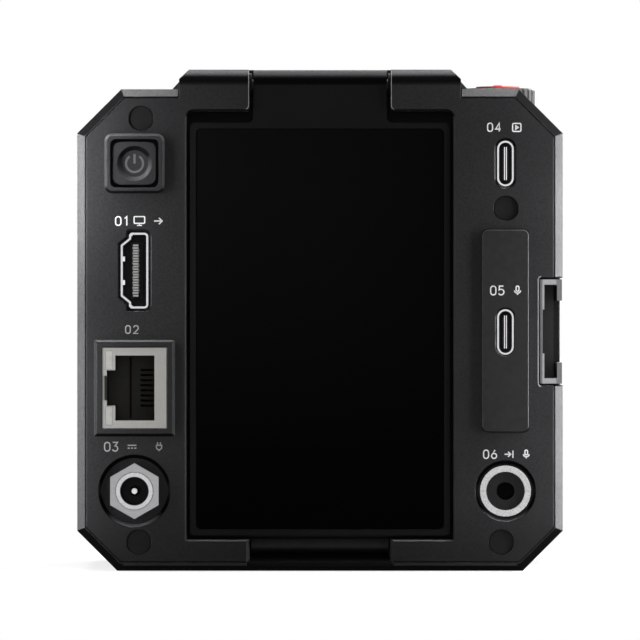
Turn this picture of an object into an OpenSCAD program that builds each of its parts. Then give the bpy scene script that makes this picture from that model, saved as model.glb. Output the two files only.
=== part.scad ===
// Box camera for live streaming, seen by its user from the rear.
// X runs to the right as seen from the rear, Y runs forward along the lens axis, Z runs up.
// The origin is the mouth of the tripod thread, in the bottom face.

/* [Body] */
// Width across the flat sides
body_w = 97.2; // [96:0.2:110]
// Depth from the rear face to the front face
body_d = 76; // [74:1:100]
// Height of the top deck above the bottom face
body_h = 96.4; // [96:0.2:110]
// Leg of the cut corners at the top
corner_top = 8.8; // [7:0.2:10]
// Leg of the cut corners at the bottom
corner_bottom = 8; // [7:0.2:9]
// Bevel round the rear and front edges
edge_bevel = 1.5; // [1:0.1:1.7]
// Wall of the main housing
wall = 2.4; // [2.2:0.1:3]
// Thickness of the rear and front covers
cover_t = 3; // [2.6:0.1:3.6]
// Seam between a cover and the rim round it
seam = 0.15; // [0.1:0.05:0.25]

/* [Hump] */
// Rise of the hump above the top deck
hump_h = 4; // [3.6:0.1:6]
// Sideways run of each flank of the hump
hump_flank = 3.6; // [2:0.1:5]
// Length of the hump from the hinge forward
hump_l = 58; // [40:1:60]

/* [Screen] */
// Width of the body beside the screen frame, on each side
column_w = 22.6; // [22.2:0.1:25]
// Height of the finger scoop under the screen
scoop_h = 4.15; // [3.9:0.05:5]
// Thickness of the folded screen
screen_t = 4.8; // [4.4:0.1:5]
// Gap beside the screen in its pocket
screen_gap = 0.65; // [0.5:0.05:0.8]
// Width of the frame round the glass
screen_border = 1.3; // [1:0.1:3]

/* [Hinge] */
// Radius of the rounded ears of the rear cover
ear_r = 3.2; // [3.1:0.1:3.5]
// Height of the ears
ear_h = 8.4; // [8:0.1:8.8]
// Reach of each ear beyond the side of the screen frame
ear_margin = 2.2; // [2:0.1:3]
// Distance of the knuckle's ends from the sides of the screen frame
knuckle_inset = 12.65; // [11:0.05:14]
// Radius of the knuckle
knuckle_r = 3; // [2.7:0.1:3]
// Gap between the knuckle and each ear
knuckle_gap = 0.85; // [0.7:0.05:1.2]
// Radius of the hinge pins
hinge_pin_r = 1.2; // [1:0.05:1.5]

/* [Ports] */
// Drop of the power button and the upper data socket below the top deck
upper_drop = 14.9; // [14.4:0.1:16]
// Height of the power and audio sockets at the foot of the two columns
lower_z = 16; // [15.6:0.1:16.6]
// Radius of the audio bore
aux_bore_r = 1.8; // [1.75:0.05:1.9]
// Radius of the power bore
dc_bore_r = 2.77; // [2.7:0.01:2.85]

/* [Lens mount] */
// Rise of the lens axis above the middle of the body
lens_rise = 1.8; // [0:0.1:2.8]
// Outer radius of the bayonet ring
ring_r = 26; // [25.6:0.1:26.5]
// Distance from the bayonet face back to the image sensor
flange_distance = 19.25; // [18:0.05:20]
// Radius of the throat behind the bayonet ring
throat_r = 18.5; // [18:0.1:18.8]
// Rise of the lens boss above the front face
boss_h = 3; // [2.6:0.1:4]

/* [Top controls] */
// Radius of the control dial
dial_r = 7.5; // [7:0.1:8]
// Distance of the dial from the side of the body
dial_inset = 12.6; // [12:0.1:13]
// Place of the dial along the body, from the middle
dial_y = -19; // [-19:0.5:0]
// Radius of the record button
record_r = 4.4; // [4:0.1:4.6]
// Travel of the power and record buttons
button_travel = 0.5; // [0.3:0.1:0.6]

/* [Cold shoe] */
// Drop of the cold shoe below the middle of the body
shoe_drop = 0.3; // [-1:0.1:1.5]
// Width of the channel for the foot
shoe_w = 18.7; // [18.5:0.05:18.9]
// Length of the cold shoe
shoe_l = 19; // [17:0.5:20]
// Opening between the lips
shoe_gap = 12.4; // [12:0.1:13]

/* [Base] */
// Width of the rubber base pad
pad_w = 64; // [60:0.5:68]
// Depth of the rubber base pad
pad_d = 48; // [45:0.5:50]
// Bore radius of the tripod thread, inside its ridges
thread_r = 2.6; // [2.55:0.01:2.7]

/* [Hidden] */

// Fineness of the drawn curves
$fn = 96;
// Fineness of the curves inside a hull
hull_fn = 32;
// Overrun of every cut past the face that it opens
cut = 0.2;
// Running clearance of pins, stems and shafts in their holes
run = 0.05;
// Clearance between pieces that move past each other
free = 0.3;
// Thickness of every circuit board
board_t = 1.6;
// Leg that a cut corner loses for each unit of inset, a pure number
corner_loss_share = 2 - sqrt(2);

// Body
rear_y = -body_d / 2;
front_y = body_d / 2;
rim_land = 0.2;
seat_inset = edge_bevel + rim_land;
cover_inset = seat_inset + seam;
cover_inner_y = rear_y + cover_t;
front_seat_y = front_y - cover_t;
inner_x = body_w / 2 - wall;
top_z = body_h + hump_h;
lens_z = body_h / 2 + lens_rise;

// Hinge and screen pocket
hinge_y = rear_y + ear_r;
hinge_z = top_z - ear_r;
ear_bottom = top_z - ear_h;
ear_corner = 2;
ear_fillet = 1;
screen_w = body_w - 2 * column_w;
ear_span = screen_w + 2 * ear_margin;
hump_w = ear_span - 2 * ear_corner;
knuckle_w = screen_w - 2 * knuckle_inset;
ear_inner_x = knuckle_w / 2 + knuckle_gap;
ear_pin_l = 10;
knuckle_pin_l = 8;
pin_end_gap = 0.4;
washer_r = 2.4;
washer_t = knuckle_gap - free;
pocket_depth = 6.5;
pocket_floor_y = rear_y + pocket_depth;
pocket_wall = 1.5;
pocket_bevel = 0.35;
pocket_corner = 1.4;
hump_y = pocket_floor_y + seam;
screen_gap_above = 2.3;
screen_gap_below = 0.85;
screen_face_y = hinge_y - knuckle_r;
screen_back_y = screen_face_y + screen_t;
scoop_sill = 0.25;
pocket_bottom = cover_inset + scoop_sill + scoop_h;
screen_top = ear_bottom - screen_gap_above;
screen_bottom = pocket_bottom + screen_gap_below;
screen_h = screen_top - screen_bottom;
screen_mid = (screen_top + screen_bottom) / 2;
screen_corner = 1;
arm_fillet = 1.2;
pocket_w = screen_w + 2 * screen_gap;
back_cover_t = 1.2;
back_cover_y = screen_back_y - back_cover_t;
glass_sunk = 0.06;
glass_t = 0.8;
glass_gap = 0.1;
glass_y = screen_face_y + glass_sunk;
glass_back_y = glass_y + glass_t;
glass_seat = 1.2;
glass_corner = 1;
glass_w = screen_w - 2 * screen_border;
glass_h = screen_h - 2 * screen_border;
lcd_t = 2;

// Finger notch under the screen
notch_inset = 11.9;
notch_w = screen_w - 2 * notch_inset;
notch_bevel = 0.6;
notch_sill = 1.06;
scoop_w = notch_w - 2 * free;
scoop_r = 5.6;

// Places of the sockets: the two between the ends of the left column as shares of its height
port_shift = 0.525;
port_x = (body_w / 2 + pocket_w / 2) / 2 - port_shift;
hdmi_share = 0.673;
lan_share = 0.3145;
power_z = body_h - upper_drop;
hdmi_z = lower_z + (power_z - lower_z) * hdmi_share;
lan_z = lower_z + (power_z - lower_z) * lan_share;
dc_z = lower_z;
usb_upper_z = power_z;
aux_z = lower_z;

// Power button
bezel_w = 12;
bezel_rise = 0.7;
bezel_bevel = 0.5;
bezel_sleeve = 10.8;
bezel_open = 9.7;
bezel_corner = 1.2;
bezel_round = 1.5;
power_w = 8.6;
power_corner = 1.6;
power_rise = 0.45;
power_dish_r = 3.5;
power_dish_inner_r = 2.7;
power_dish_depth = 0.45;
power_flange_w = 10.4;
flange_t = 1;
stem_r = 1.5;
stem_l = 1.5;
switch_t = 3.5;
switch_h = 5;
switch_reach = 3;

// Video socket
hdmi_w = 5.5;
hdmi_h = 15.15;
hdmi_wall = 0.4;
hdmi_l = 11;
hdmi_sunk = 0.2;
hdmi_shoulder_w = 1.66;
hdmi_shoulder_h = 1.1;
hdmi_slope_h = 1.36;
hdmi_r = 0.8;
hdmi_corner = 0.4;
hdmi_margin = 0.3;
port_bevel = 0.3;
hdmi_tongue_w = 1.2;
hdmi_tongue_h = 10.6;
hdmi_tongue_x = 0.25;
hdmi_leg = 1.2;

// Network socket
lan_w = 12.8;
lan_h = 16.1;
lan_l = 21;
lan_sheet = 0.4;
lan_frame_w = 16.1;
lan_frame_h = 19.3;
lan_rise = 0.5;
lan_margin = 0.1;
lan_sunk = 0.15;
lan_mouth_h = 13;
lan_mouth_w = 7.84;
lan_mouth_x = 0.08;
lan_latch_w = 1.7;
lan_latch_h = 7.1;
lan_slot_h = 4.9;
lan_cavity_l = 14;
lan_ridge = 0.5;
lan_pipe_w = 1.4;
lan_pipe_h = 3.8;
lan_pipe_x = 5.1;
lan_pipe_z = 5.55;
contact_pitch = 1.02;
contact_count = 8;
contact_t = 0.42;
contact_l = 6.6;
contact_angle = 24;
contact_in = 2.2;

// Power socket
dc_recess_r = 7.26;
dc_floor_r = 6.6;
recess_depth = 1;
nut_flats = 9.7;
nut_t = 2;
dc_barrel_r = 3.7;
dc_body_w = 11;
dc_body_l = 12;
dc_pin_r = 0.95;
dc_bore_l = 9.5;
dc_proud = 0.4;
dc_lip = 0.3;

// Audio socket
aux_recess_r = 6.1;
aux_floor_r = 5.6;
aux_ring_r = 5.1;
aux_ring_bore = 3.85;
aux_ring_t = 1;
aux_body_w = 11.5;
aux_body_l = 14;
aux_bore_l = 13;
aux_slot = 0.3;
aux_face_sunk = 0.3;

// Data sockets
usb_w = 3.3;
usb_h = 9.1;
usb_wall = 0.35;
usb_l = 7.5;
usb_sunk = 0.2;
usb_margin = 0.25;
usb_tongue_w = 0.9;
usb_tongue_h = 6.7;
usb_back_t = 1;
dock_w = 9.3;
dock_above = 13.25;
dock_below = 11.75;
dock_h = usb_upper_z - dock_above - aux_z - dock_below;
dock_z = aux_z + dock_below + dock_h / 2;
usb_lower_shift = 0.2;
usb_lower_z = dock_z - usb_lower_shift;
dock_corner = 1.2;
dock_rise = 0.3;
dock_inlay = 0.8;

// Screws and plugs: distances of the screws from the edges of the body
plug_r = 2.45;
plug_sunk = 0.15;
plug_t = 0.6;
plug_side_upper = 12.8;
plug_top_upper = 5.9;
plug_side_lower = 12.35;
plug_rise_lower = 5.75;
plug_side_right = 11.4;
plug_drop_right = 9;
plug_z_right = usb_upper_z - plug_drop_right;
front_screw_side = 11.5;
front_screw_top = 8;
front_screw_rise = 7.5;
screw_head_r = 2.2;
screw_head_t = 1.2;
screw_r = 1.2;
screw_l = 7;
screw_floor = 1;
hex_key = 1.5;
post_r = 3.4;
post_l = 10;

// Cold shoe
shoe_sheet = 1.1;
shoe_back_t = 0.9;
shoe_channel = 2.5;
shoe_out = 0.2;
shoe_lip_t = 1;
shoe_play = 0.3;
shoe_stop_t = 1.5;
shoe_relief = 0.35;
shoe_relief_h = 8.8;
shoe_screw_step = 4.6;
shoe_screw_share = 0.67;
shoe_screw_head_r = 1.6;
shoe_screw_head_t = 0.5;
shoe_screw_r = 0.8;
shoe_screw_l = 1.6;
shoe_pocket_wall = 2;
shoe_z = body_h / 2 - shoe_drop;
shoe_half = shoe_w / 2 + shoe_sheet;
shoe_out_x = body_w / 2 - shoe_out;
shoe_back_x = shoe_out_x - shoe_lip_t - shoe_channel - shoe_back_t;
shoe_rear_y = rear_y + shoe_play;
shoe_screw_y = shoe_rear_y + shoe_l * shoe_screw_share;

// Top controls
dial_x = body_w / 2 - dial_inset;
dial_h = 4.6;
dial_rise = 0.6;
dial_pocket = dial_h + free - dial_rise;
dial_play = 0.5;
dial_floor_z = body_h - dial_pocket;
dial_boss_t = 2;
dial_boss_wall = 2.4;
dial_groove = 0.35;
dial_groove_count = 30;
dial_round = 0.4;
bush_r = 3;
bush_flange_r = 4;
record_rise = 0.4;
record_t = 1.2;
record_nub_r = 1.3;
record_nub_top_r = 0.8;
record_nub_h = 0.35;
record_stem_r = 1.3;
record_top_z = body_h + dial_rise + record_rise;
record_floor_z = record_top_z - record_t - button_travel - free;
control_board_drop = 3.3;
control_board_w = 17;
control_board_d = 16;
control_switch_w = 4.5;
control_switch_t = 2.3;
control_post_r = 1.5;
control_post_step = 6;

// Lens mount
boss_margin = 3;
boss_r = ring_r + boss_margin;
ring_t = 3.5;
ring_rise = 1;
flange_y = front_y + boss_h + ring_rise;
ring_y = flange_y - ring_t;
ring_bore = 21.4;
tab_r = 19.3;
tab_t = 1.7;
tab_angle = 62;
tab_count = 3;
ring_bevel = 0.5;
mount_screw_ring = 23.8;
mount_screw_count = 4;
mount_screw_head_r = 1.7;
mount_screw_r = 0.9;
mount_screw_l = 4.4;
spring_t = 0.35;
spring_r = 21.2;
spring_bore = 19.2;
tube_wall = 2.9;
throat_l = 12.5;
throat_front_l = 4.5;
throat_step = 0.3;
throat_back_r = throat_r - throat_step;
tube_back_y = ring_y - throat_l;
lock_angle = 200;
lock_ring = 23.8;
lock_pin_r = 0.9;
lock_rise = 0.8;
release_r = 4.5;
release_ring = 35;
release_rise = 2.6;
release_pocket = 1.6;
lever_w = 4;
lever_t = 1.2;
lever_gap = 0.6;
lever_y = front_seat_y - lever_gap - lever_t;
index_r = 1;
index_t = 0.6;
index_proud = 0.1;
contact_depth = 8.1;
block_angle = 74;
block_bore = 15;
pin_count = 11;
pin_angle = 6;
gold_pin_r = 0.35;
gold_pin_l = 1.2;
gold_pin_rise = 0.3;
gold_pin_ring = 16.8;

// Sensor
sensor_y = flange_y - flange_distance;
sensor_w = 28;
sensor_h = 22;
sensor_t = 2.25;
sensor_rim = 1.25;
sensor_active_w = 19;
sensor_active_h = 14.6;
cover_glass_t = 0.7;
sensor_board_w = 47;
sensor_board_h = 39;
sensor_board_y = sensor_y - sensor_t;
sensor_post_r = 2;
sensor_post_side = 3;
baffle_t = 0.8;
baffle_w = 21;
baffle_h = 16;
sink_w = 40;
sink_h = 34;
sink_base = 2;
sink_l = 11;
fin_t = 1.2;
fin_count = 9;

// Boards
main_board_set = 26;
main_board_y = rear_y + main_board_set;
main_board_side = 4.6;
main_board_end = 12.2;
rib_t = 1.5;
rib_w = 6;
io_front_y = main_board_y - free;
io_rear_y = cover_inner_y + free;
io_left_x = port_x + lan_w / 2;
io_left_below = 12;
io_left_above = 5;
io_left_z0 = lan_z - io_left_below;
io_left_z1 = power_z + io_left_above;
io_right_x = port_x + usb_w / 2;
io_right_below = 8;
io_right_above = 3;
io_right_z0 = usb_lower_z - io_right_below;
io_right_z1 = usb_upper_z + io_right_above;
io_post_r = 1.5;
io_post_inset = 3;

// Fan and vents
fan_w = 30;
fan_t = 7;
fan_y = 8;
fan_z = lens_z;
fan_bore = 14;
fan_hub_r = 6.5;
fan_gap = 0.4;
fan_arm = 1.6;
fan_arm_t = 1;
fan_shaft_r = 0.75;
fan_shaft_l = 3;
fan_boss_r = 5;
blade_count = 7;
blade_t = 0.8;
blade_chord = 6;
blade_angle = 36;
vent_w = 1.6;
vent_l = 26;
vent_step = 3.3;
vent_count = 8;

// Base
plate_w = 42;
plate_d = 34;
plate_flange = 4;
plate_flange_t = 1.6;
pad_t = 0.8;
pad_corner = 3;
thread_l = 8;
tripod_bush_r = 5.5;
tripod_bush_h = 10;

// Corners of the body outline in X and Z, drawn in by an inset
function octagon(inset) =
    let (
        w = body_w / 2 - inset,
        top = body_h - inset,
        ct = corner_top - inset * corner_loss_share,
        cb = corner_bottom - inset * corner_loss_share
    )
    [
        [-w + cb, inset], [w - cb, inset], [w, inset + cb], [w, top - ct],
        [w - ct, top], [-w + ct, top], [-w, top - ct], [-w, inset + cb]
    ];

// Corners of a rectangle in X and Z
function rectangle(x0, x1, z0, z1) = [[x0, z0], [x1, z0], [x1, z1], [x0, z1]];

// Square with round corners in X and Z, about its own middle
function round_square(w, r) = [
    for (q = [0:3], i = [0:4])
        let (middle_angle = 45 + q * 90, angle = middle_angle - 45 + i * 22.5, k = w / 2 - r)
            [k * sign(cos(middle_angle)) + r * cos(angle), k * sign(sin(middle_angle)) + r * sin(angle)]
];

// Solid that joins convex outlines in X and Z, each at its own Y, from the rear forward
module loft(ys, outlines) {
    n = len(outlines[0]);
    last = len(ys) - 1;
    polyhedron(
        points = [for (k = [0:last], p = outlines[k]) [p[0], ys[k], p[1]]],
        faces = concat(
            [[for (i = [n - 1:-1:0]) i]],
            [for (k = [0:last - 1], i = [0:n - 1])
                [k * n + i, k * n + (i + 1) % n, (k + 1) * n + (i + 1) % n, (k + 1) * n + i]],
            [[for (i = [0:n - 1]) last * n + i]]
        )
    );
}

// Outline in X and Z, extruded along Y from y0 forward to y1
module along_y(y0, y1) {
    translate([0, y1, 0])
        rotate([90, 0, 0])
            linear_extrude(height = y1 - y0)
                children();
}

// Outline in Y and Z, extruded along X from x0 to x1
module along_x(x0, x1) {
    translate([x0, 0, 0])
        rotate([90, 0, 90])
            linear_extrude(height = x1 - x0)
                children();
}

// Round bar along Y at a place in X and Z, tapered where the front radius is given
module rod_y(x, z, r, y0, y1, r_front = 0) {
    translate([x, y0, z])
        rotate([-90, 0, 0])
            cylinder(h = y1 - y0, r1 = r, r2 = r_front > 0 ? r_front : r);
}

// Tube along Y at a place in X and Z
module tube_y(x, z, r, bore, y0, y1) {
    difference() {
        rod_y(x, z, r, y0, y1);
        rod_y(x, z, bore, y0 - cut, y1 + cut);
    }
}

// Rectangle with round corners, about its own middle
module rounded_rectangle(w, h, r) {
    square([w - 2 * r, h], center = true);
    square([w, h - 2 * r], center = true);
    for (sx = [-1, 1], sz = [-1, 1])
        translate([sx * (w / 2 - r), sz * (h / 2 - r)])
            circle(r = r);
}

// Upright slot with round ends, about its own middle
module stadium(w, h) {
    square([w, h - w], center = true);
    for (s = [-1, 1])
        translate([0, s * (h - w) / 2])
            circle(r = w / 2);
}

// Part of a ring round the lens axis, between y0 and y1, with its middle at an angle
module lens_arc(r, bore, middle, angle, y0, y1) {
    translate([0, y1, lens_z])
        rotate([90, 0, 0])
            rotate([0, 0, middle - angle / 2])
                rotate_extrude(angle = angle)
                    translate([bore, 0])
                        square([r - bore, y1 - y0]);
}

// Place on a circle round the lens axis, in X and Z
function on_lens_ring(r, angle) = [r * cos(angle), lens_z + r * sin(angle)];

// Centres of the screws in the rear cover
function rear_screws() = [
    [-body_w / 2 + plug_side_upper, body_h - plug_top_upper],
    [-body_w / 2 + plug_side_lower, plug_rise_lower],
    [body_w / 2 - plug_side_right, plug_z_right],
    [body_w / 2 - plug_side_lower, plug_rise_lower]
];

// Centres of the screws in the front cover
function front_screws() = [
    for (s = [-1, 1], z = [front_screw_rise, body_h - front_screw_top])
        [s * (body_w / 2 - front_screw_side), z]
];

// Hump above the deck, with a sloping front
module hump() {
    intersection() {
        along_y(hump_y, hump_y + hump_l)
            polygon([
                [-hump_w / 2 - hump_flank, body_h - wall], [hump_w / 2 + hump_flank, body_h - wall],
                [hump_w / 2 + hump_flank, body_h], [hump_w / 2, top_z],
                [-hump_w / 2, top_z], [-hump_w / 2 - hump_flank, body_h]
            ]);
        along_x(-body_w, body_w)
            polygon([
                [hump_y, body_h - wall], [hump_y + hump_l, body_h - wall],
                [hump_y + hump_l, body_h], [hump_y + hump_l - 2 * hump_h, top_z], [hump_y, top_z]
            ]);
    }
}

// Row of upright vent slots through a side wall
module vent_slots(x0, x1) {
    for (i = [0:vent_count - 1])
        translate([0, fan_y + (i - (vent_count - 1) / 2) * vent_step, fan_z])
            along_x(x0, x1)
                stadium(vent_w, vent_l);
}

// Post for a cover screw, with a web to the wall that lies in the direction given in X and Z
module screw_post(p, y0, direction, reach) {
    rod_y(p[0], p[1], post_r, y0, y0 + post_l);
    translate([p[0], y0, p[1]])
        rotate([0, -atan2(direction[1], direction[0]), 0])
            translate([0, 0, -rib_t])
                cube([reach, post_l, 2 * rib_t]);
}

// Posts inside the housing that take the screws of both covers
module housing_posts() {
    rear = rear_screws();
    for (i = [0:len(rear) - 1])
        if (rear[i][1] == plug_z_right)
            screw_post(rear[i], cover_inner_y, [1, 0], plug_side_right - wall / 2);
        else if (rear[i][1] > body_h / 2)
            screw_post(rear[i], cover_inner_y, [0, 1], plug_top_upper - wall / 2);
        else
            screw_post(rear[i], cover_inner_y, [0, -1], plug_rise_lower - wall / 2);
    for (p = front_screws())
        if (p[1] > body_h / 2)
            screw_post(p, front_seat_y - post_l, [0, 1], front_screw_top - wall / 2);
        else
            screw_post(p, front_seat_y - post_l, [0, -1], front_screw_rise - wall / 2);
}

// Ribs that the main board lies against, and posts that carry the two port boards
module housing_board_seats() {
    for (s = [-1, 1])
        translate([s > 0 ? inner_x - rib_w : -inner_x - wall / 2, main_board_y + board_t, main_board_end])
            cube([rib_w + wall / 2, rib_t, body_h - 2 * main_board_end]);
    for (y = [io_rear_y + io_post_inset, io_front_y - io_post_inset],
        z = [io_left_z0 + io_post_inset, io_left_z1 - io_post_inset])
        translate([-inner_x - wall / 2, y, z])
            rotate([0, 90, 0])
                cylinder(h = inner_x + wall / 2 - io_left_x - board_t, r = io_post_r);
    for (z = [io_right_z0 + io_post_inset, io_right_z1 - io_post_inset])
        translate([io_right_x + board_t, io_front_y - io_post_inset, z])
            rotate([0, 90, 0])
                cylinder(h = inner_x + wall / 2 - io_right_x - board_t, r = io_post_r);
}

// Floor and posts of the housing under the dial
module housing_dial_seat() {
    intersection() {
        translate([dial_x, dial_y, dial_floor_z - dial_boss_t])
            cylinder(h = dial_boss_t + dial_pocket, r = dial_r + dial_play + dial_boss_wall);
        along_y(rear_y, front_y)
            polygon(octagon(0));
    }
    for (s = [-1, 1])
        translate([dial_x + s * control_post_step, dial_y - s * control_post_step,
            dial_floor_z - dial_boss_t - control_board_drop])
            cylinder(h = dial_boss_t + control_board_drop, r = control_post_r);
}

// Space for the cold shoe, grown by a wall for the housing round it
module shoe_space(grow) {
    translate([shoe_back_x - shoe_play - grow, rear_y - lan_rise, shoe_z - shoe_half - shoe_play - grow])
        cube([body_w / 2, lan_rise + shoe_play + shoe_l + shoe_play + grow,
            2 * (shoe_half + shoe_play + grow)]);
}

module main_housing() {
    color("#3a3b3d") difference() {
        union() {
            difference() {
                union() {
                    loft([rear_y, rear_y + edge_bevel, front_y - edge_bevel, front_y],
                        [octagon(edge_bevel), octagon(0), octagon(0), octagon(edge_bevel)]);
                    hump();
                }
                along_y(rear_y - cut, front_y + cut)
                    polygon(octagon(wall));
                along_y(rear_y - cut, cover_inner_y)
                    polygon(octagon(seat_inset));
                along_y(front_seat_y, front_y + cut)
                    polygon(octagon(seat_inset));
            }
            housing_posts();
            housing_board_seats();
            housing_dial_seat();
            intersection() {
                shoe_space(shoe_pocket_wall);
                along_y(cover_inner_y, front_seat_y)
                    polygon(octagon(wall / 2));
            }
        }
        shoe_space(0);
        for (s = [-1, 1])
            translate([shoe_back_x, shoe_screw_y, shoe_z + s * shoe_screw_step])
                rotate([0, -90, 0])
                    cylinder(h = shoe_play + shoe_pocket_wall + cut, r = shoe_screw_r + run);
        translate([dial_x, dial_y, dial_floor_z])
            cylinder(h = dial_pocket + hump_h, r = dial_r + dial_play);
        translate([dial_x, dial_y, dial_floor_z - dial_boss_t - cut])
            cylinder(h = dial_boss_t + 2 * cut, r = bush_r + run);
        translate([-ear_span / 2 - seam, rear_y - cut, body_h - 2 * wall])
            cube([ear_span + 2 * seam, hump_y - rear_y + cut, 2 * wall + hump_h + cut]);
        translate([-notch_w / 2 - notch_bevel, rear_y - cut, notch_sill])
            cube([notch_w + 2 * notch_bevel, cover_t + cut, wall]);
        for (p = rear_screws())
            rod_y(p[0], p[1], screw_r + run, cover_inner_y - cut, cover_inner_y + screw_l);
        for (p = front_screws())
            rod_y(p[0], p[1], screw_r + run, front_seat_y - screw_l, front_seat_y + cut);
        vent_slots(-body_w / 2 - cut, -inner_x + cut);
        vent_slots(inner_x - cut, body_w / 2 + cut);
        translate([-plate_w / 2 - run, -plate_d / 2 - run, -cut])
            cube([plate_w + 2 * run, plate_d + 2 * run, wall + 2 * cut]);
        translate([0, 0, -cut])
            linear_extrude(height = pad_t + cut)
                rounded_rectangle(pad_w + 2 * run, pad_d + 2 * run, pad_corner);
    }
}

// One ear of the rear cover, on the right when side is 1 and on the left when it is -1
module ear(side) {
    inner = side * ear_inner_x;
    outer = side * ear_span / 2;
    intersection() {
        along_x(min(inner, outer), max(inner, outer))
            union() {
                translate([rear_y, ear_bottom])
                    square([pocket_depth, ear_h - ear_r]);
                translate([hinge_y, ear_bottom])
                    square([pocket_depth - ear_r, ear_h]);
                translate([hinge_y, hinge_z])
                    circle(r = ear_r);
            }
        along_y(rear_y - cut, pocket_floor_y + cut)
            polygon([
                [inner, ear_bottom + ear_fillet], [inner + side * ear_fillet, ear_bottom],
                [outer, ear_bottom], [outer, top_z - ear_corner],
                [outer - side * ear_corner, top_z], [inner, top_z]
            ]);
    }
}

// Screen pocket as seen from the rear, with round upper corners
module pocket_outline() {
    h = ear_bottom - pocket_bottom;
    translate([-pocket_w / 2, pocket_bottom])
        square([pocket_w, h - pocket_corner]);
    translate([-pocket_w / 2 + pocket_corner, pocket_bottom])
        square([pocket_w - 2 * pocket_corner, h]);
    for (s = [-1, 1])
        translate([s * (pocket_w / 2 - pocket_corner), ear_bottom - pocket_corner])
            circle(r = pocket_corner);
}

// Outline of the video socket moved out by a margin: wide at the right, narrow at the left
module hdmi_outline(margin) {
    x1 = hdmi_w / 2 + margin;
    z1 = hdmi_h / 2 + margin;
    r = hdmi_r + margin;
    miter = margin * tan(atan2(hdmi_shoulder_w, hdmi_slope_h) / 2);
    step_x = -hdmi_w / 2 + hdmi_shoulder_w - margin;
    step_z = hdmi_h / 2 - hdmi_shoulder_h + miter;
    foot_z = hdmi_h / 2 - hdmi_shoulder_h - hdmi_slope_h + miter;
    polygon(concat(
        [for (a = [-90:15:0]) [x1 - r + r * cos(a), -z1 + r + r * sin(a)]],
        [for (a = [0:15:90]) [x1 - r + r * cos(a), z1 - r + r * sin(a)]],
        [
            [step_x + hdmi_corner, z1], [step_x, z1 - hdmi_corner], [step_x, step_z],
            [-x1, foot_z], [-x1, -foot_z], [step_x, -step_z],
            [step_x, -z1 + hdmi_corner], [step_x + hdmi_corner, -z1]
        ]
    ));
}

// Openings of the left column, from the power button down to the power socket
module left_openings() {
    translate([-port_x, 0, power_z])
        along_y(rear_y - cut, cover_inner_y + cut)
            rounded_rectangle(bezel_sleeve + 2 * run, bezel_sleeve + 2 * run, bezel_corner);
    translate([-port_x, 0, hdmi_z]) {
        along_y(rear_y - cut, cover_inner_y + cut)
            hdmi_outline(hdmi_margin);
        along_y(rear_y - cut, rear_y + port_bevel)
            hdmi_outline(hdmi_margin + port_bevel);
    }
    translate([-port_x, 0, lan_z])
        along_y(rear_y - lan_rise - cut, cover_inner_y + cut)
            square([lan_w + 2 * lan_margin, lan_h + 2 * lan_margin], center = true);
    rod_y(-port_x, dc_z, dc_recess_r, rear_y - cut, rear_y);
    rod_y(-port_x, dc_z, dc_recess_r, rear_y, rear_y + recess_depth, dc_floor_r);
    rod_y(-port_x, dc_z, dc_barrel_r + run, rear_y, cover_inner_y + cut);
}

// Openings of the right column, from the upper data socket down to the audio socket
module right_openings() {
    for (z = [usb_upper_z, usb_lower_z])
        translate([port_x, 0, z])
            along_y(rear_y - cut, cover_inner_y + cut)
                stadium(usb_w + 2 * usb_margin, usb_h + 2 * usb_margin);
    hull()
        for (grow = [0, port_bevel])
            translate([port_x, 0, usb_upper_z])
                along_y(rear_y - grow, rear_y + port_bevel - grow)
                    stadium(usb_w + 2 * (usb_margin + grow), usb_h + 2 * (usb_margin + grow),
                        $fn = hull_fn);
    translate([port_x, 0, dock_z])
        along_y(rear_y - cut, rear_y + dock_inlay)
            rounded_rectangle(dock_w + 2 * run, dock_h + 2 * run, dock_corner);
    rod_y(port_x, aux_z, aux_recess_r, rear_y - cut, rear_y);
    rod_y(port_x, aux_z, aux_recess_r, rear_y, rear_y + recess_depth, aux_floor_r);
    rod_y(port_x, aux_z, aux_ring_bore + run, rear_y, cover_inner_y + cut);
}

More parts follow.
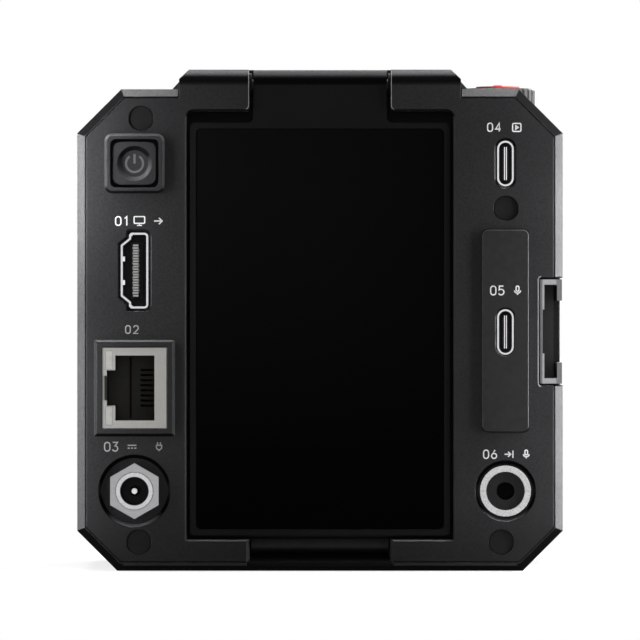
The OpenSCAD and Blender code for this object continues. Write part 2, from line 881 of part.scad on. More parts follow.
module rear_cover() {
    rim = pocket_bevel + cut;
    corner_x = pocket_w / 2 - pocket_corner;
    color("#2f3032") difference() {
        union() {
            along_y(rear_y, cover_inner_y)
                polygon(octagon(cover_inset));
            loft([rear_y - lan_rise, rear_y, rear_y + lan_rise], [
                for (inset = [lan_rise, 0, 0])
                    rectangle(-port_x - lan_frame_w / 2 + inset, -port_x + lan_frame_w / 2 - inset,
                        lan_z - lan_frame_h / 2 + inset, lan_z + lan_frame_h / 2 - inset)
            ]);
            translate([-pocket_w / 2 - pocket_wall, rear_y + pocket_wall, pocket_bottom - pocket_wall])
                cube([pocket_w + 2 * pocket_wall, pocket_depth,
                    body_h - wall - seam - pocket_bottom + pocket_wall]);
            for (side = [-1, 1])
                ear(side);
        }
        along_y(rear_y - cut, pocket_floor_y)
            pocket_outline();
        loft([rear_y - cut, rear_y + pocket_bevel], [
            rectangle(-pocket_w / 2 - rim, pocket_w / 2 + rim,
                pocket_bottom - rim, ear_bottom - pocket_corner),
            rectangle(-pocket_w / 2, pocket_w / 2, pocket_bottom, ear_bottom - pocket_corner)
        ]);
        loft([rear_y - cut, rear_y + pocket_bevel], [
            for (z = [ear_bottom + rim, ear_bottom])
                rectangle(-corner_x, corner_x, ear_bottom - pocket_corner, z)
        ]);
        for (s = [-1, 1])
            rod_y(s * corner_x, ear_bottom - pocket_corner, pocket_corner + rim,
                rear_y - cut, rear_y + pocket_bevel, pocket_corner);
        translate([-ear_inner_x, rear_y - cut, ear_bottom - cut])
            cube([2 * ear_inner_x, pocket_depth + cut, ear_h + 2 * cut]);
        loft([rear_y - cut, rear_y + notch_bevel, pocket_floor_y], [
            for (grow = [notch_bevel + cut, 0, 0])
                rectangle(-notch_w / 2 - grow, notch_w / 2 + grow, 0, pocket_bottom + cut)
        ]);
        for (side = [0, 1])
            mirror([side, 0, 0])
                translate([ear_inner_x - cut, hinge_y, hinge_z])
                    rotate([0, 90, 0])
                        cylinder(h = ear_pin_l + cut, r = hinge_pin_r + run);
        left_openings();
        right_openings();
        for (p = rear_screws()) {
            rod_y(p[0], p[1], plug_r + run, rear_y - cut, cover_inner_y - screw_floor);
            rod_y(p[0], p[1], screw_r + run, rear_y, cover_inner_y + cut);
        }
        shoe_space(0);
    }
}

// Concave insert under the lower edge of the screen, where a fingertip goes in
module finger_scoop() {
    color("#202123")
        along_x(-scoop_w / 2, scoop_w / 2)
            difference() {
                union() {
                    translate([rear_y + scoop_sill, cover_inset + scoop_sill])
                        square([cover_t - 2 * scoop_sill, scoop_h]);
                    translate([rear_y + scoop_sill, wall + run])
                        square([pocket_depth - scoop_sill, pocket_bottom - wall - run]);
                }
                translate([rear_y, cover_inset + 2 * scoop_sill + scoop_r])
                    circle(r = scoop_r);
            }
}

module hinge_arm() {
    along_x(-knuckle_w / 2, knuckle_w / 2)
        union() {
            translate([hinge_y, hinge_z])
                circle(r = knuckle_r);
            translate([screen_face_y, screen_top - screen_corner])
                square([screen_t, hinge_z - screen_top + screen_corner]);
        }
    along_y(screen_face_y, back_cover_y)
        for (side = [-1, 1])
            difference() {
                translate([side * (knuckle_w / 2 + arm_fillet / 2), screen_top + arm_fillet / 2])
                    square(arm_fillet, center = true);
                translate([side * (knuckle_w / 2 + arm_fillet), screen_top + arm_fillet])
                    circle(r = arm_fillet);
            }
}

module screen_frame() {
    window_w = glass_w - 2 * glass_seat;
    window_h = glass_h - 2 * glass_seat;
    color("#1d1e20") difference() {
        union() {
            translate([0, 0, screen_mid])
                along_y(screen_face_y, back_cover_y)
                    rounded_rectangle(screen_w, screen_h, screen_corner);
            hinge_arm();
        }
        translate([0, 0, screen_mid]) {
            along_y(screen_face_y - cut, glass_back_y)
                rounded_rectangle(glass_w + 2 * glass_gap, glass_h + 2 * glass_gap,
                    glass_corner + glass_gap);
            along_y(glass_y, back_cover_y + cut)
                square([window_w, window_h], center = true);
        }
        translate([-knuckle_w, back_cover_y, screen_bottom])
            cube([2 * knuckle_w, screen_t, screen_h + free]);
        for (side = [0, 1])
            mirror([side, 0, 0])
                translate([knuckle_w / 2 - knuckle_pin_l, hinge_y, hinge_z])
                    rotate([0, 90, 0])
                        cylinder(h = knuckle_pin_l + cut, r = hinge_pin_r + run);
    }
}

module screen_back_cover() {
    color("#26272a") translate([0, 0, screen_mid]) {
        along_y(back_cover_y, screen_back_y)
            rounded_rectangle(screen_w, screen_h, screen_corner);
        along_y(glass_back_y + lcd_t, back_cover_y)
            square([glass_w - 2 * glass_seat - 2 * free, glass_h - 2 * glass_seat - 2 * free],
                center = true);
    }
}

module screen_glass() {
    color("#0a0a0b") translate([0, 0, screen_mid])
        along_y(glass_y, glass_back_y)
            rounded_rectangle(glass_w, glass_h, glass_corner);
}

module lcd_panel() {
    color("#16181c") translate([0, 0, screen_mid])
        along_y(glass_back_y, glass_back_y + lcd_t)
            square([glass_w - 2 * glass_seat - 2 * glass_gap, glass_h - 2 * glass_seat - 2 * glass_gap],
                center = true);
}

module hinge_pins() {
    color("#b9bcc0")
        for (side = [0, 1])
            mirror([side, 0, 0])
                translate([knuckle_w / 2 - knuckle_pin_l + pin_end_gap, hinge_y, hinge_z])
                    rotate([0, 90, 0])
                        cylinder(h = knuckle_pin_l + knuckle_gap + ear_pin_l - 2 * pin_end_gap,
                            r = hinge_pin_r);
}

module hinge_washers() {
    color("#9a9da1")
        for (side = [0, 1])
            mirror([side, 0, 0])
                translate([ear_inner_x - washer_t, hinge_y, hinge_z])
                    rotate([0, 90, 0])
                        difference() {
                            cylinder(h = washer_t, r = washer_r);
                            translate([0, 0, -cut])
                                cylinder(h = washer_t + 2 * cut, r = hinge_pin_r + run);
                        }
}

module power_button_bezel() {
    color("#2b2c2e") translate([-port_x, 0, power_z])
        difference() {
            union() {
                loft([rear_y - bezel_rise, rear_y - bezel_rise + bezel_bevel, rear_y], [
                    for (inset = [bezel_bevel, 0, 0])
                        round_square(bezel_w - 2 * inset, bezel_round - inset)
                ]);
                along_y(rear_y - bezel_rise / 2, cover_inner_y)
                    rounded_rectangle(bezel_sleeve, bezel_sleeve, bezel_corner);
            }
            along_y(rear_y - bezel_rise - cut, cover_inner_y + cut)
                rounded_rectangle(bezel_open, bezel_open, bezel_corner);
        }
}

module power_button() {
    face_y = rear_y - power_rise;
    flange_y0 = cover_inner_y + free;
    color("#2a2b2d") translate([-port_x, 0, power_z])
        difference() {
            union() {
                along_y(face_y, flange_y0 + flange_t)
                    rounded_rectangle(power_w, power_w, power_corner);
                along_y(flange_y0, flange_y0 + flange_t)
                    square(power_flange_w, center = true);
                rod_y(0, 0, stem_r, flange_y0, flange_y0 + flange_t + stem_l);
            }
            rod_y(0, 0, power_dish_r, face_y - cut, face_y);
            rod_y(0, 0, power_dish_r, face_y, face_y + power_dish_depth, power_dish_inner_r);
        }
}

// Switch body on the left port board, one travel in front of the stem
module power_switch() {
    y0 = cover_inner_y + free + flange_t + stem_l + button_travel + free;
    color("#8d8f92")
        translate([-io_left_x, y0, power_z - switch_h / 2])
            cube([io_left_x - port_x + switch_reach, switch_t, switch_h]);
}

module hdmi_shell() {
    y0 = rear_y + hdmi_sunk;
    color("#c9cbce") translate([-port_x, 0, hdmi_z]) {
        difference() {
            along_y(y0, y0 + hdmi_l)
                hdmi_outline(0);
            along_y(y0 - cut, y0 + hdmi_l - hdmi_wall)
                hdmi_outline(-hdmi_wall);
        }
        for (s = [-1, 1])
            translate([-lan_w / 2, y0 + hdmi_l - 2 * hdmi_leg, s * hdmi_h / 4 - hdmi_leg / 2])
                cube([(lan_w - hdmi_w) / 2, hdmi_leg, hdmi_leg]);
    }
}

module hdmi_tongue() {
    y0 = rear_y + hdmi_sunk;
    color("#232425") translate([-port_x, 0, hdmi_z]) {
        translate([hdmi_tongue_x - hdmi_tongue_w / 2, y0 + 2 * hdmi_wall, -hdmi_tongue_h / 2])
            cube([hdmi_tongue_w, hdmi_l - 3 * hdmi_wall, hdmi_tongue_h]);
        translate([hdmi_tongue_x - hdmi_tongue_w, y0 + hdmi_l - 4 * hdmi_wall,
            -hdmi_tongue_h / 2 - hdmi_wall])
            cube([2 * hdmi_tongue_w, 3 * hdmi_wall, hdmi_tongue_h + 2 * hdmi_wall]);
    }
}

// Mouth of the network socket with the steps for the plug's latch at its left
module lan_mouth(margin) {
    left = lan_mouth_x + lan_mouth_w / 2;
    translate([lan_mouth_x, 0])
        square([lan_mouth_w + 2 * margin, lan_mouth_h + 2 * margin], center = true);
    translate([-left - lan_latch_w + 2 * lan_mouth_x - margin, -lan_latch_h / 2 - margin])
        square([lan_mouth_w / 2 + lan_latch_w, lan_latch_h + 2 * margin]);
}

module lan_shield() {
    y0 = rear_y - lan_rise + lan_sunk;
    color("#c8c6c0") translate([-port_x, 0, lan_z])
        difference() {
            along_y(y0, y0 + lan_l)
                square([lan_w, lan_h], center = true);
            along_y(y0 + lan_sheet, y0 + lan_l - lan_sheet)
                square([lan_w - 2 * lan_sheet, lan_h - 2 * lan_sheet], center = true);
            along_y(y0 - cut, y0 + lan_sheet + cut)
                lan_mouth(0);
            translate([-lan_w / 2 - cut, y0 - cut, -lan_slot_h / 2])
                cube([lan_w / 2, lan_sheet + 2 * cut, lan_slot_h]);
            for (s = [-1, 1])
                translate([-lan_pipe_x, 0, s * lan_pipe_z])
                    along_y(y0 - cut, y0 + lan_sheet + cut)
                        square([lan_pipe_w, lan_pipe_h], center = true);
        }
}

module lan_insert() {
    y0 = rear_y - lan_rise + lan_sunk + lan_sheet;
    back = lan_l - 2 * lan_sheet;
    step = lan_cavity_l / 2;
    color("#34322c") translate([-port_x, 0, lan_z])
        difference() {
            along_y(y0, y0 + back)
                square([lan_w - 2 * lan_sheet, lan_h - 2 * lan_sheet], center = true);
            along_y(y0 - cut, y0 + lan_cavity_l)
                lan_mouth(0);
            along_y(y0 - cut, y0 + step)
                for (i = [0:contact_count - 1])
                    translate([lan_mouth_w / 2, (i - (contact_count - 1) / 2) * contact_pitch])
                        square([2 * contact_in - lan_ridge, contact_t + 4 * run], center = true);
            for (s = [-1, 1])
                translate([-lan_pipe_x, 0, s * lan_pipe_z])
                    along_y(y0 - cut, y0 + lan_sheet)
                        square([lan_pipe_w, lan_pipe_h], center = true);
        }
}

// Eight spring wires that slope from the right wall back into the mouth
module lan_contacts() {
    y0 = rear_y - lan_rise + lan_sunk + lan_sheet;
    color("#c9a24a")
        for (i = [0:contact_count - 1])
            translate([-port_x + lan_mouth_x + lan_mouth_w / 2 - run, y0 + contact_t,
                lan_z + (i - (contact_count - 1) / 2) * contact_pitch - contact_t / 2])
                rotate([0, 0, contact_angle])
                    translate([-contact_t / 2, 0, 0])
                        cube([contact_t / 2, contact_l, contact_t]);
}

module lan_light_pipes() {
    y0 = rear_y - lan_rise + lan_sunk;
    color("#dcdad2")
        for (s = [-1, 1])
            translate([-port_x - lan_pipe_x, 0, lan_z + s * lan_pipe_z])
                along_y(y0, y0 + 2 * lan_sheet)
                    square([lan_pipe_w - 2 * run, lan_pipe_h - 2 * run], center = true);
}

module dc_jack_nut() {
    y0 = rear_y + recess_depth - nut_t;
    color("#a9abae")
        difference() {
            translate([-port_x, y0, dc_z])
                rotate([-90, 30, 0])
                    cylinder(h = nut_t, r = nut_flats / 2 / cos(30), $fn = 6);
            rod_y(-port_x, dc_z, dc_barrel_r + run, y0 - cut, y0 + nut_t + cut);
        }
}

module dc_jack_barrel() {
    y0 = rear_y + recess_depth - nut_t - dc_proud;
    color("#8f9194") difference() {
        union() {
            rod_y(-port_x, dc_z, dc_barrel_r, y0, cover_inner_y + dc_lip);
            translate([-port_x - dc_body_w / 2, cover_inner_y, dc_z - dc_body_w / 2])
                cube([dc_body_w, dc_body_l, dc_body_w]);
        }
        rod_y(-port_x, dc_z, dc_bore_r, y0 - cut, y0 + dc_bore_l);
        rod_y(-port_x, dc_z, dc_pin_r, y0, y0 + dc_bore_l + 2 * dc_lip);
    }
}

module dc_jack_pin() {
    y0 = rear_y + recess_depth - nut_t - dc_proud;
    color("#d8d9db") {
        rod_y(-port_x, dc_z, dc_pin_r, y0 + dc_pin_r + dc_proud, y0 + dc_bore_l + 2 * dc_lip);
        translate([-port_x, y0 + dc_pin_r + dc_proud, dc_z])
            sphere(r = dc_pin_r);
    }
}

module aux_jack_ring() {
    y0 = rear_y + recess_depth - aux_ring_t;
    color("#cfd0d2") difference() {
        tube_y(port_x, aux_z, aux_ring_r, aux_ring_bore, y0, rear_y + recess_depth);
        translate([port_x, y0, aux_z])
            cube([3 * aux_ring_r, aux_slot, aux_slot], center = true);
    }
}

module aux_jack_body() {
    y0 = rear_y + aux_face_sunk;
    color("#2c2d2f") difference() {
        union() {
            rod_y(port_x, aux_z, aux_ring_bore - run, y0, cover_inner_y + dc_lip);
            translate([port_x - aux_body_w / 2, cover_inner_y, aux_z - aux_body_w / 2])
                cube([aux_body_w, aux_body_l, aux_body_w]);
        }
        rod_y(port_x, aux_z, aux_bore_r, y0 - cut, y0 + aux_bore_l);
    }
}

// Shell of a data socket, with its mouth at y0
module usb_c_shell(z, y0) {
    color("#bfc1c4") translate([port_x, 0, z])
        difference() {
            along_y(y0, y0 + usb_l)
                stadium(usb_w, usb_h);
            along_y(y0 - cut, y0 + usb_l + cut)
                stadium(usb_w - 2 * usb_wall, usb_h - 2 * usb_wall);
        }
}

// Tongue of a data socket on the plug that closes the back of the shell
module usb_c_tongue(z, y0) {
    color("#1b1c1d") translate([port_x, 0, z]) {
        translate([-usb_tongue_w / 2, y0 + usb_wall, -usb_tongue_h / 2])
            cube([usb_tongue_w, usb_l - usb_wall, usb_tongue_h]);
        along_y(y0 + usb_l - usb_back_t, y0 + usb_l)
            stadium(usb_w - 2 * usb_wall - 2 * run, usb_h - 2 * usb_wall - 2 * run);
    }
}

module mic_dock_plate() {
    color("#2d2e30")
        difference() {
            translate([port_x, 0, dock_z])
                along_y(rear_y - dock_rise, rear_y + dock_inlay)
                    rounded_rectangle(dock_w, dock_h, dock_corner);
            translate([port_x, 0, usb_lower_z])
                along_y(rear_y - dock_rise - cut, rear_y + dock_inlay + cut)
                    stadium(usb_w + 2 * usb_margin, usb_h + 2 * usb_margin);
        }
}

// Rubber discs that cover the heads of the rear screws
module screw_plugs() {
    color("#242426")
        for (p = rear_screws())
            rod_y(p[0], p[1], plug_r, rear_y + plug_sunk, rear_y + plug_sunk + plug_t);
}

// One cap screw along Y, its head at y0 and its shank running in the direction given
module cap_screw(p, y0, direction) {
    translate([p[0], y0, p[1]])
        rotate([-90 * direction, 0, 0])
            difference() {
                union() {
                    cylinder(h = screw_head_t, r = screw_head_r);
                    cylinder(h = screw_head_t + screw_floor + screw_l - free, r = screw_r);
                }
                translate([0, 0, -cut])
                    cylinder(h = screw_head_t / 2 + cut, r = hex_key / 2 / cos(30), $fn = 6);
            }
}

module cover_screws() {
    color("#6f7174") {
        for (p = rear_screws())
            cap_screw(p, cover_inner_y - screw_floor - screw_head_t, 1);
        for (p = front_screws())
            cap_screw(p, front_seat_y + screw_floor + screw_head_t, -1);
    }
}

// Channel with two lips and an end stop, open to the rear and to the right
module cold_shoe() {
    color("#3f4144") difference() {
        translate([shoe_back_x, shoe_rear_y, shoe_z - shoe_half])
            cube([shoe_out_x - shoe_back_x, shoe_l, 2 * shoe_half]);
        translate([shoe_back_x + shoe_back_t, shoe_rear_y - cut, shoe_z - shoe_w / 2])
            cube([shoe_channel, shoe_l - shoe_stop_t + cut, shoe_w]);
        translate([shoe_back_x + shoe_back_t, shoe_rear_y - cut, shoe_z - shoe_gap / 2])
            cube([shoe_channel + shoe_lip_t + cut, shoe_l - shoe_stop_t + cut, shoe_gap]);
        translate([shoe_back_x + shoe_back_t - shoe_relief, shoe_rear_y - cut, shoe_z - shoe_relief_h / 2])
            cube([shoe_channel, shoe_l / 2, shoe_relief_h]);
        for (s = [-1, 1])
            translate([shoe_back_x - cut, shoe_screw_y, shoe_z + s * shoe_screw_step])
                rotate([0, 90, 0]) {
                    cylinder(h = shoe_back_t + 2 * cut, r = shoe_screw_r + run);
                    translate([0, 0, cut + shoe_back_t - shoe_screw_head_t])
                        cylinder(h = shoe_screw_head_t + cut, r = shoe_screw_head_r + run);
                }
    }
}

module cold_shoe_screws() {
    color("#8a8c8f")
        for (s = [-1, 1])
            translate([shoe_back_x + shoe_back_t, shoe_screw_y, shoe_z + s * shoe_screw_step])
                rotate([0, -90, 0])
                    difference() {
                        union() {
                            cylinder(h = shoe_screw_head_t, r = shoe_screw_head_r);
                            cylinder(h = shoe_back_t + shoe_play + shoe_screw_l, r = shoe_screw_r);
                        }
                        translate([0, 0, -cut])
                            cylinder(h = shoe_screw_head_t / 2 + cut, r = shoe_screw_r, $fn = 6);
                    }
}

module record_button() {
    color("#c4161c") translate([dial_x, dial_y, 0]) {
        translate([0, 0, record_top_z - record_t])
            cylinder(h = record_t, r = record_r);
        translate([0, 0, record_top_z])
            cylinder(h = record_nub_h, r1 = record_nub_r, r2 = record_nub_top_r);
        translate([0, 0, dial_floor_z - dial_boss_t])
            cylinder(h = record_top_z - dial_floor_z + dial_boss_t - record_t / 2, r = record_stem_r);
    }
}

// Knurled dial that turns round the record button on its bush
module control_dial() {
    z0 = dial_floor_z + free;
    z1 = body_h + dial_rise;
    color("#1f2022") translate([dial_x, dial_y, 0])
        difference() {
            rotate_extrude()
                polygon([
                    [bush_r + run, z0], [dial_r - dial_round, z0], [dial_r, z0 + dial_round],
                    [dial_r, z1 - dial_round], [dial_r - dial_round, z1],
                    [record_r + free, z1], [record_r + free, record_floor_z], [bush_r + run, record_floor_z]
                ]);
            for (i = [0:dial_groove_count - 1])
                rotate(i * 360 / dial_groove_count)
                    translate([dial_r, 0, z0 - cut])
                        cylinder(h = dial_h + 2 * cut, r = dial_groove, $fn = 4);
        }
}

// Bush in the floor under the dial, with the bore that guides the record button
module dial_bush() {
    top = record_floor_z - free / 2;
    color("#b08d57") translate([dial_x, dial_y, 0])
        difference() {
            union() {
                translate([0, 0, dial_floor_z - dial_boss_t])
                    cylinder(h = top - dial_floor_z + dial_boss_t, r = bush_r);
                translate([0, 0, dial_floor_z - dial_boss_t - flange_t])
                    cylinder(h = flange_t, r = bush_flange_r);
            }
            translate([0, 0, dial_floor_z - dial_boss_t - flange_t - cut])
                cylinder(h = dial_h + dial_boss_t + flange_t, r = record_stem_r + run);
        }
}

// Board under the dial, with the switch that the record button presses
module control_board() {
    top = dial_floor_z - dial_boss_t - control_board_drop;
    color("#1f4a33") translate([dial_x, dial_y, top]) {
        translate([-control_board_w / 2, -control_board_d / 2, -board_t])
            cube([control_board_w, control_board_d, board_t]);
        translate([-control_switch_w / 2, -control_switch_w / 2, 0])
            cube([control_switch_w, control_switch_w, control_switch_t]);
    }
}

module front_cover() {
    post_x = sensor_board_w / 2 - sensor_post_side;
    post_z = sensor_board_h / 2 - sensor_post_side;
    button = on_lens_ring(release_ring, lock_angle);
    pin = on_lens_ring(lock_ring, lock_angle);
    color("#2f3032") difference() {
        union() {
            along_y(front_seat_y, front_y)
                polygon(octagon(cover_inset));
            rod_y(0, lens_z, boss_r + ring_bevel, front_y - cut, front_y + boss_h - ring_bevel);
            rod_y(0, lens_z, boss_r + ring_bevel, front_y + boss_h - ring_bevel, front_y + boss_h, boss_r);
            rod_y(0, lens_z, throat_r + tube_wall, tube_back_y, ring_y);
            for (sx = [-1, 1], sz = [-1, 1])
                rod_y(sx * post_x, lens_z + sz * post_z, sensor_post_r, sensor_board_y, front_seat_y + cut);
        }
        rod_y(0, lens_z, ring_r + run, ring_y, front_y + boss_h + cut);
        rod_y(0, lens_z, throat_back_r, tube_back_y - cut, ring_y);
        rod_y(0, lens_z, throat_r, ring_y - throat_front_l, ring_y + cut);
        rod_y(button[0], button[1], release_r + run, front_y - release_pocket, front_y + cut);
        rod_y(button[0], button[1], stem_r + run, front_seat_y - cut, front_y);
        rod_y(pin[0], pin[1], lock_pin_r + run, front_seat_y - cut, ring_y + cut);
        for (i = [0:mount_screw_count - 1])
            let (p = on_lens_ring(mount_screw_ring, 45 + i * 90))
                rod_y(p[0], p[1], mount_screw_r + run, ring_y - mount_screw_l, ring_y + cut);
        let (p = on_lens_ring(ring_r + boss_margin / 2, 90))
            rod_y(p[0], p[1], index_r + run, front_y + boss_h - index_t, front_y + boss_h + cut);
        for (p = front_screws()) {
            rod_y(p[0], p[1], screw_r + run, front_seat_y - cut, front_y);
            rod_y(p[0], p[1], screw_head_r + 2 * run, front_seat_y + screw_floor, front_y + cut);
        }
    }
}

// Bayonet ring: three tabs at the face of the ring that hold a lens by its own three
module lens_mount_ring() {
    pin = on_lens_ring(lock_ring, lock_angle);
    color("#c4c6c9") difference() {
        union() {
            difference() {
                union() {
                    rod_y(0, lens_z, ring_r, ring_y, flange_y - ring_bevel);
                    rod_y(0, lens_z, ring_r, flange_y - ring_bevel, flange_y, ring_r - ring_bevel);
                }
                rod_y(0, lens_z, ring_bore, ring_y - cut, flange_y + cut);
            }
            for (i = [0:tab_count - 1])
                lens_arc(ring_bore + cut, tab_r, 90 + i * 360 / tab_count, tab_angle,
                    flange_y - tab_t, flange_y);
        }
        rod_y(pin[0], pin[1], lock_pin_r + run, ring_y - cut, flange_y + cut);
        for (i = [0:mount_screw_count - 1])
            let (p = on_lens_ring(mount_screw_ring, 45 + i * 90)) {
                rod_y(p[0], p[1], mount_screw_r + run, ring_y - cut, flange_y + cut);
                rod_y(p[0], p[1], mount_screw_r + run, flange_y - mount_screw_r, flange_y + cut,
                    mount_screw_head_r + run + cut);
            }
    }
}

module mount_screws() {
    head_y = flange_y - mount_screw_r;
    color("#9fa1a4")
        for (i = [0:mount_screw_count - 1])
            let (p = on_lens_ring(mount_screw_ring, 45 + i * 90))
                difference() {
                    union() {
                        rod_y(p[0], p[1], mount_screw_r, ring_y - mount_screw_l + free, head_y);
                        rod_y(p[0], p[1], mount_screw_r, head_y, flange_y - run, mount_screw_head_r);
                    }
                    translate([p[0], flange_y, p[1]])
                        cube([2 * mount_screw_r, mount_screw_r, 2 * free], center = true);
                    translate([p[0], flange_y, p[1]])
                        cube([2 * free, mount_screw_r, 2 * mount_screw_r], center = true);
                }
}

// Flat spring behind the bayonet ring, cut into three leaves
module bayonet_spring() {
    color("#b3b5b8")
        for (i = [0:tab_count - 1])
            lens_arc(spring_r, spring_bore, 90 + i * 360 / tab_count, tab_angle, ring_y, ring_y + spring_t);
}

module lens_index_mark() {
    p = on_lens_ring(ring_r + boss_margin / 2, 90);
    color("#c4161c")
        rod_y(p[0], p[1], index_r, front_y + boss_h - index_t, front_y + boss_h + index_proud);
}

// Arc of plastic at the bottom of the throat that carries the contact pins
module contact_block() {
    front = flange_y - contact_depth - gold_pin_rise;
    color("#1a1b1c") difference() {
        lens_arc(throat_back_r - run, block_bore, -90, block_angle, tube_back_y, front);
        for (i = [0:pin_count - 1])
            let (p = on_lens_ring(gold_pin_ring, -90 + (i - (pin_count - 1) / 2) * pin_angle))
                rod_y(p[0], p[1], gold_pin_r + run, front - gold_pin_l, front + cut);
    }
}

module contact_pins() {
    front = flange_y - contact_depth;
    color("#d4af5a")
        for (i = [0:pin_count - 1])
            let (p = on_lens_ring(gold_pin_ring, -90 + (i - (pin_count - 1) / 2) * pin_angle))
                rod_y(p[0], p[1], gold_pin_r, front - gold_pin_rise - gold_pin_l, front);
}

// Plate behind the throat that masks all but the light to the sensor
module throat_baffle() {
    color("#151617") difference() {
        rod_y(0, lens_z, throat_r + tube_wall, tube_back_y - baffle_t, tube_back_y);
        translate([-baffle_w / 2, tube_back_y - baffle_t - cut, lens_z - baffle_h / 2])
            cube([baffle_w, baffle_t + 2 * cut, baffle_h]);
    }
}

module lens_release_button() {
    p = on_lens_ring(release_ring, lock_angle);
    color("#3a3c3f") {
        rod_y(p[0], p[1], release_r, front_y + free, front_y + release_rise - ring_bevel);
        rod_y(p[0], p[1], release_r, front_y + release_rise - ring_bevel, front_y + release_rise,
            release_r - ring_bevel);
        rod_y(p[0], p[1], stem_r, lever_y + lever_t, front_y + free);
    }
}

module lens_lock_pin() {
    p = on_lens_ring(lock_ring, lock_angle);
    color("#c9cbce")
        rod_y(p[0], p[1], lock_pin_r, lever_y + lever_t, flange_y + lock_rise);
}

// Bar behind the front cover that makes the release button pull the lock pin
module release_lever() {
    color("#8f9194")
        translate([0, lever_y + lever_t, lens_z])
            rotate([90, -lock_angle, 0])
                linear_extrude(height = lever_t)
                    translate([lock_ring - lever_w / 2, -lever_w / 2])
                        square([release_ring - lock_ring + lever_w, lever_w]);
}

module sensor_glass() {
    color("#7fa8a0")
        translate([-sensor_w / 2 + sensor_rim, sensor_y + sensor_rim, lens_z - sensor_h / 2 + sensor_rim])
            cube([sensor_w - 2 * sensor_rim, cover_glass_t, sensor_h - 2 * sensor_rim]);
}

// Package of the image sensor, its light face at the flange distance
module image_sensor() {
    color("#3b3a44") difference() {
        translate([-sensor_w / 2, sensor_board_y, lens_z - sensor_h / 2])
            cube([sensor_w, sensor_t + sensor_rim, sensor_h]);
        translate([-sensor_active_w / 2, sensor_y, lens_z - sensor_active_h / 2])
            cube([sensor_active_w, sensor_rim + cut, sensor_active_h]);
    }
}

module sensor_board() {
    color("#1f4a33")
        translate([-sensor_board_w / 2, sensor_board_y - board_t, lens_z - sensor_board_h / 2])
            cube([sensor_board_w, board_t, sensor_board_h]);
}

// Finned sink behind the sensor board
module heat_sink() {
    y1 = sensor_board_y - board_t;
    color("#a7a9ac") {
        translate([-sink_w / 2, y1 - sink_base, lens_z - sink_h / 2])
            cube([sink_w, sink_base, sink_h]);
        for (i = [0:fin_count - 1])
            translate([-sink_w / 2 + i * (sink_w - fin_t) / (fin_count - 1), y1 - sink_l,
                lens_z - sink_h / 2])
                cube([fin_t, sink_l - sink_base / 2, sink_h]);
    }
}

module main_board() {
    color("#1f4a33")
        translate([-body_w / 2 + main_board_side, main_board_y, main_board_end])
            cube([body_w - 2 * main_board_side, board_t, body_h - 2 * main_board_end]);
}

module io_board_left() {
    color("#1f4a33")
        translate([-io_left_x - board_t, io_rear_y, io_left_z0])
            cube([board_t, io_front_y - io_rear_y, io_left_z1 - io_left_z0]);
}

// Right port board, notched round the screw post between the two sockets
module io_board_right() {
    notch = 2 * (post_r + free);
    color("#1f4a33") difference() {
        translate([io_right_x, io_rear_y, io_right_z0])
            cube([board_t, io_front_y - io_rear_y, io_right_z1 - io_right_z0]);
        translate([io_right_x - cut, io_rear_y - cut, plug_z_right - notch / 2])
            cube([board_t + 2 * cut, post_l + free + cut, notch]);
    }
}

// Square fan housing against the left wall, with three arms that carry the hub
module fan_frame() {
    x0 = -inner_x;
    color("#2a2b2c") translate([x0, fan_y, fan_z])
        rotate([90, 0, 90])
            union() {
                difference() {
                    linear_extrude(height = fan_t)
                        rounded_rectangle(fan_w, fan_w, pad_corner);
                    translate([0, 0, -cut])
                        cylinder(h = fan_t + 2 * cut, r = fan_bore);
                }
                difference() {
                    union() {
                        cylinder(h = fan_arm_t, r = fan_boss_r);
                        for (i = [0:2])
                            rotate(i * 120)
                                translate([0, -fan_arm / 2, 0])
                                    cube([fan_bore + fan_arm, fan_arm, fan_arm_t]);
                    }
                    translate([0, 0, -cut])
                        cylinder(h = fan_arm_t + 2 * cut, r = fan_shaft_r + run);
                }
            }
}

// Hub with slanted blades and the shaft that turns in the fan housing
module fan_rotor() {
    span = fan_bore - fan_gap - fan_hub_r;
    height = fan_t - fan_arm_t - 2 * fan_gap;
    color("#232425") translate([-inner_x, fan_y, fan_z])
        rotate([90, 0, 90]) {
            translate([0, 0, fan_arm_t + fan_gap])
                cylinder(h = height, r = fan_hub_r);
            cylinder(h = fan_shaft_l, r = fan_shaft_r);
            intersection() {
                translate([0, 0, fan_arm_t + fan_gap])
                    cylinder(h = height, r = fan_hub_r + span);
                for (i = [0:blade_count - 1])
                    rotate(i * 360 / blade_count)
                        translate([fan_hub_r + span / 2, 0, fan_t / 2 + fan_arm_t / 2])
                            rotate([90 - blade_angle, 0, 0])
                                cube([span + fan_hub_r / 2, blade_t, blade_chord], center = true);
            }
        }
}

module tripod_plate() {
    color("#55575a") difference() {
        union() {
            translate([-plate_w / 2, -plate_d / 2, 0])
                cube([plate_w, plate_d, wall]);
            translate([-plate_w / 2 - plate_flange, -plate_d / 2 - plate_flange, wall])
                cube([plate_w + 2 * plate_flange, plate_d + 2 * plate_flange, plate_flange_t]);
        }
        translate([0, 0, -cut])
            cylinder(h = wall + plate_flange_t + 2 * cut, r = tripod_bush_r + run);
    }
}

module tripod_bush() {
    color("#c2b280") difference() {
        cylinder(h = tripod_bush_h, r = tripod_bush_r);
        translate([0, 0, -cut])
            cylinder(h = thread_l + cut, r = thread_r);
    }
}

module base_pad() {
    color("#1c1c1d") difference() {
        linear_extrude(height = pad_t)
            rounded_rectangle(pad_w, pad_d, pad_corner);
        translate([-plate_w / 2 - run, -plate_d / 2 - run, -cut])
            cube([plate_w + 2 * run, plate_d + 2 * run, pad_t + 2 * cut]);
    }
}

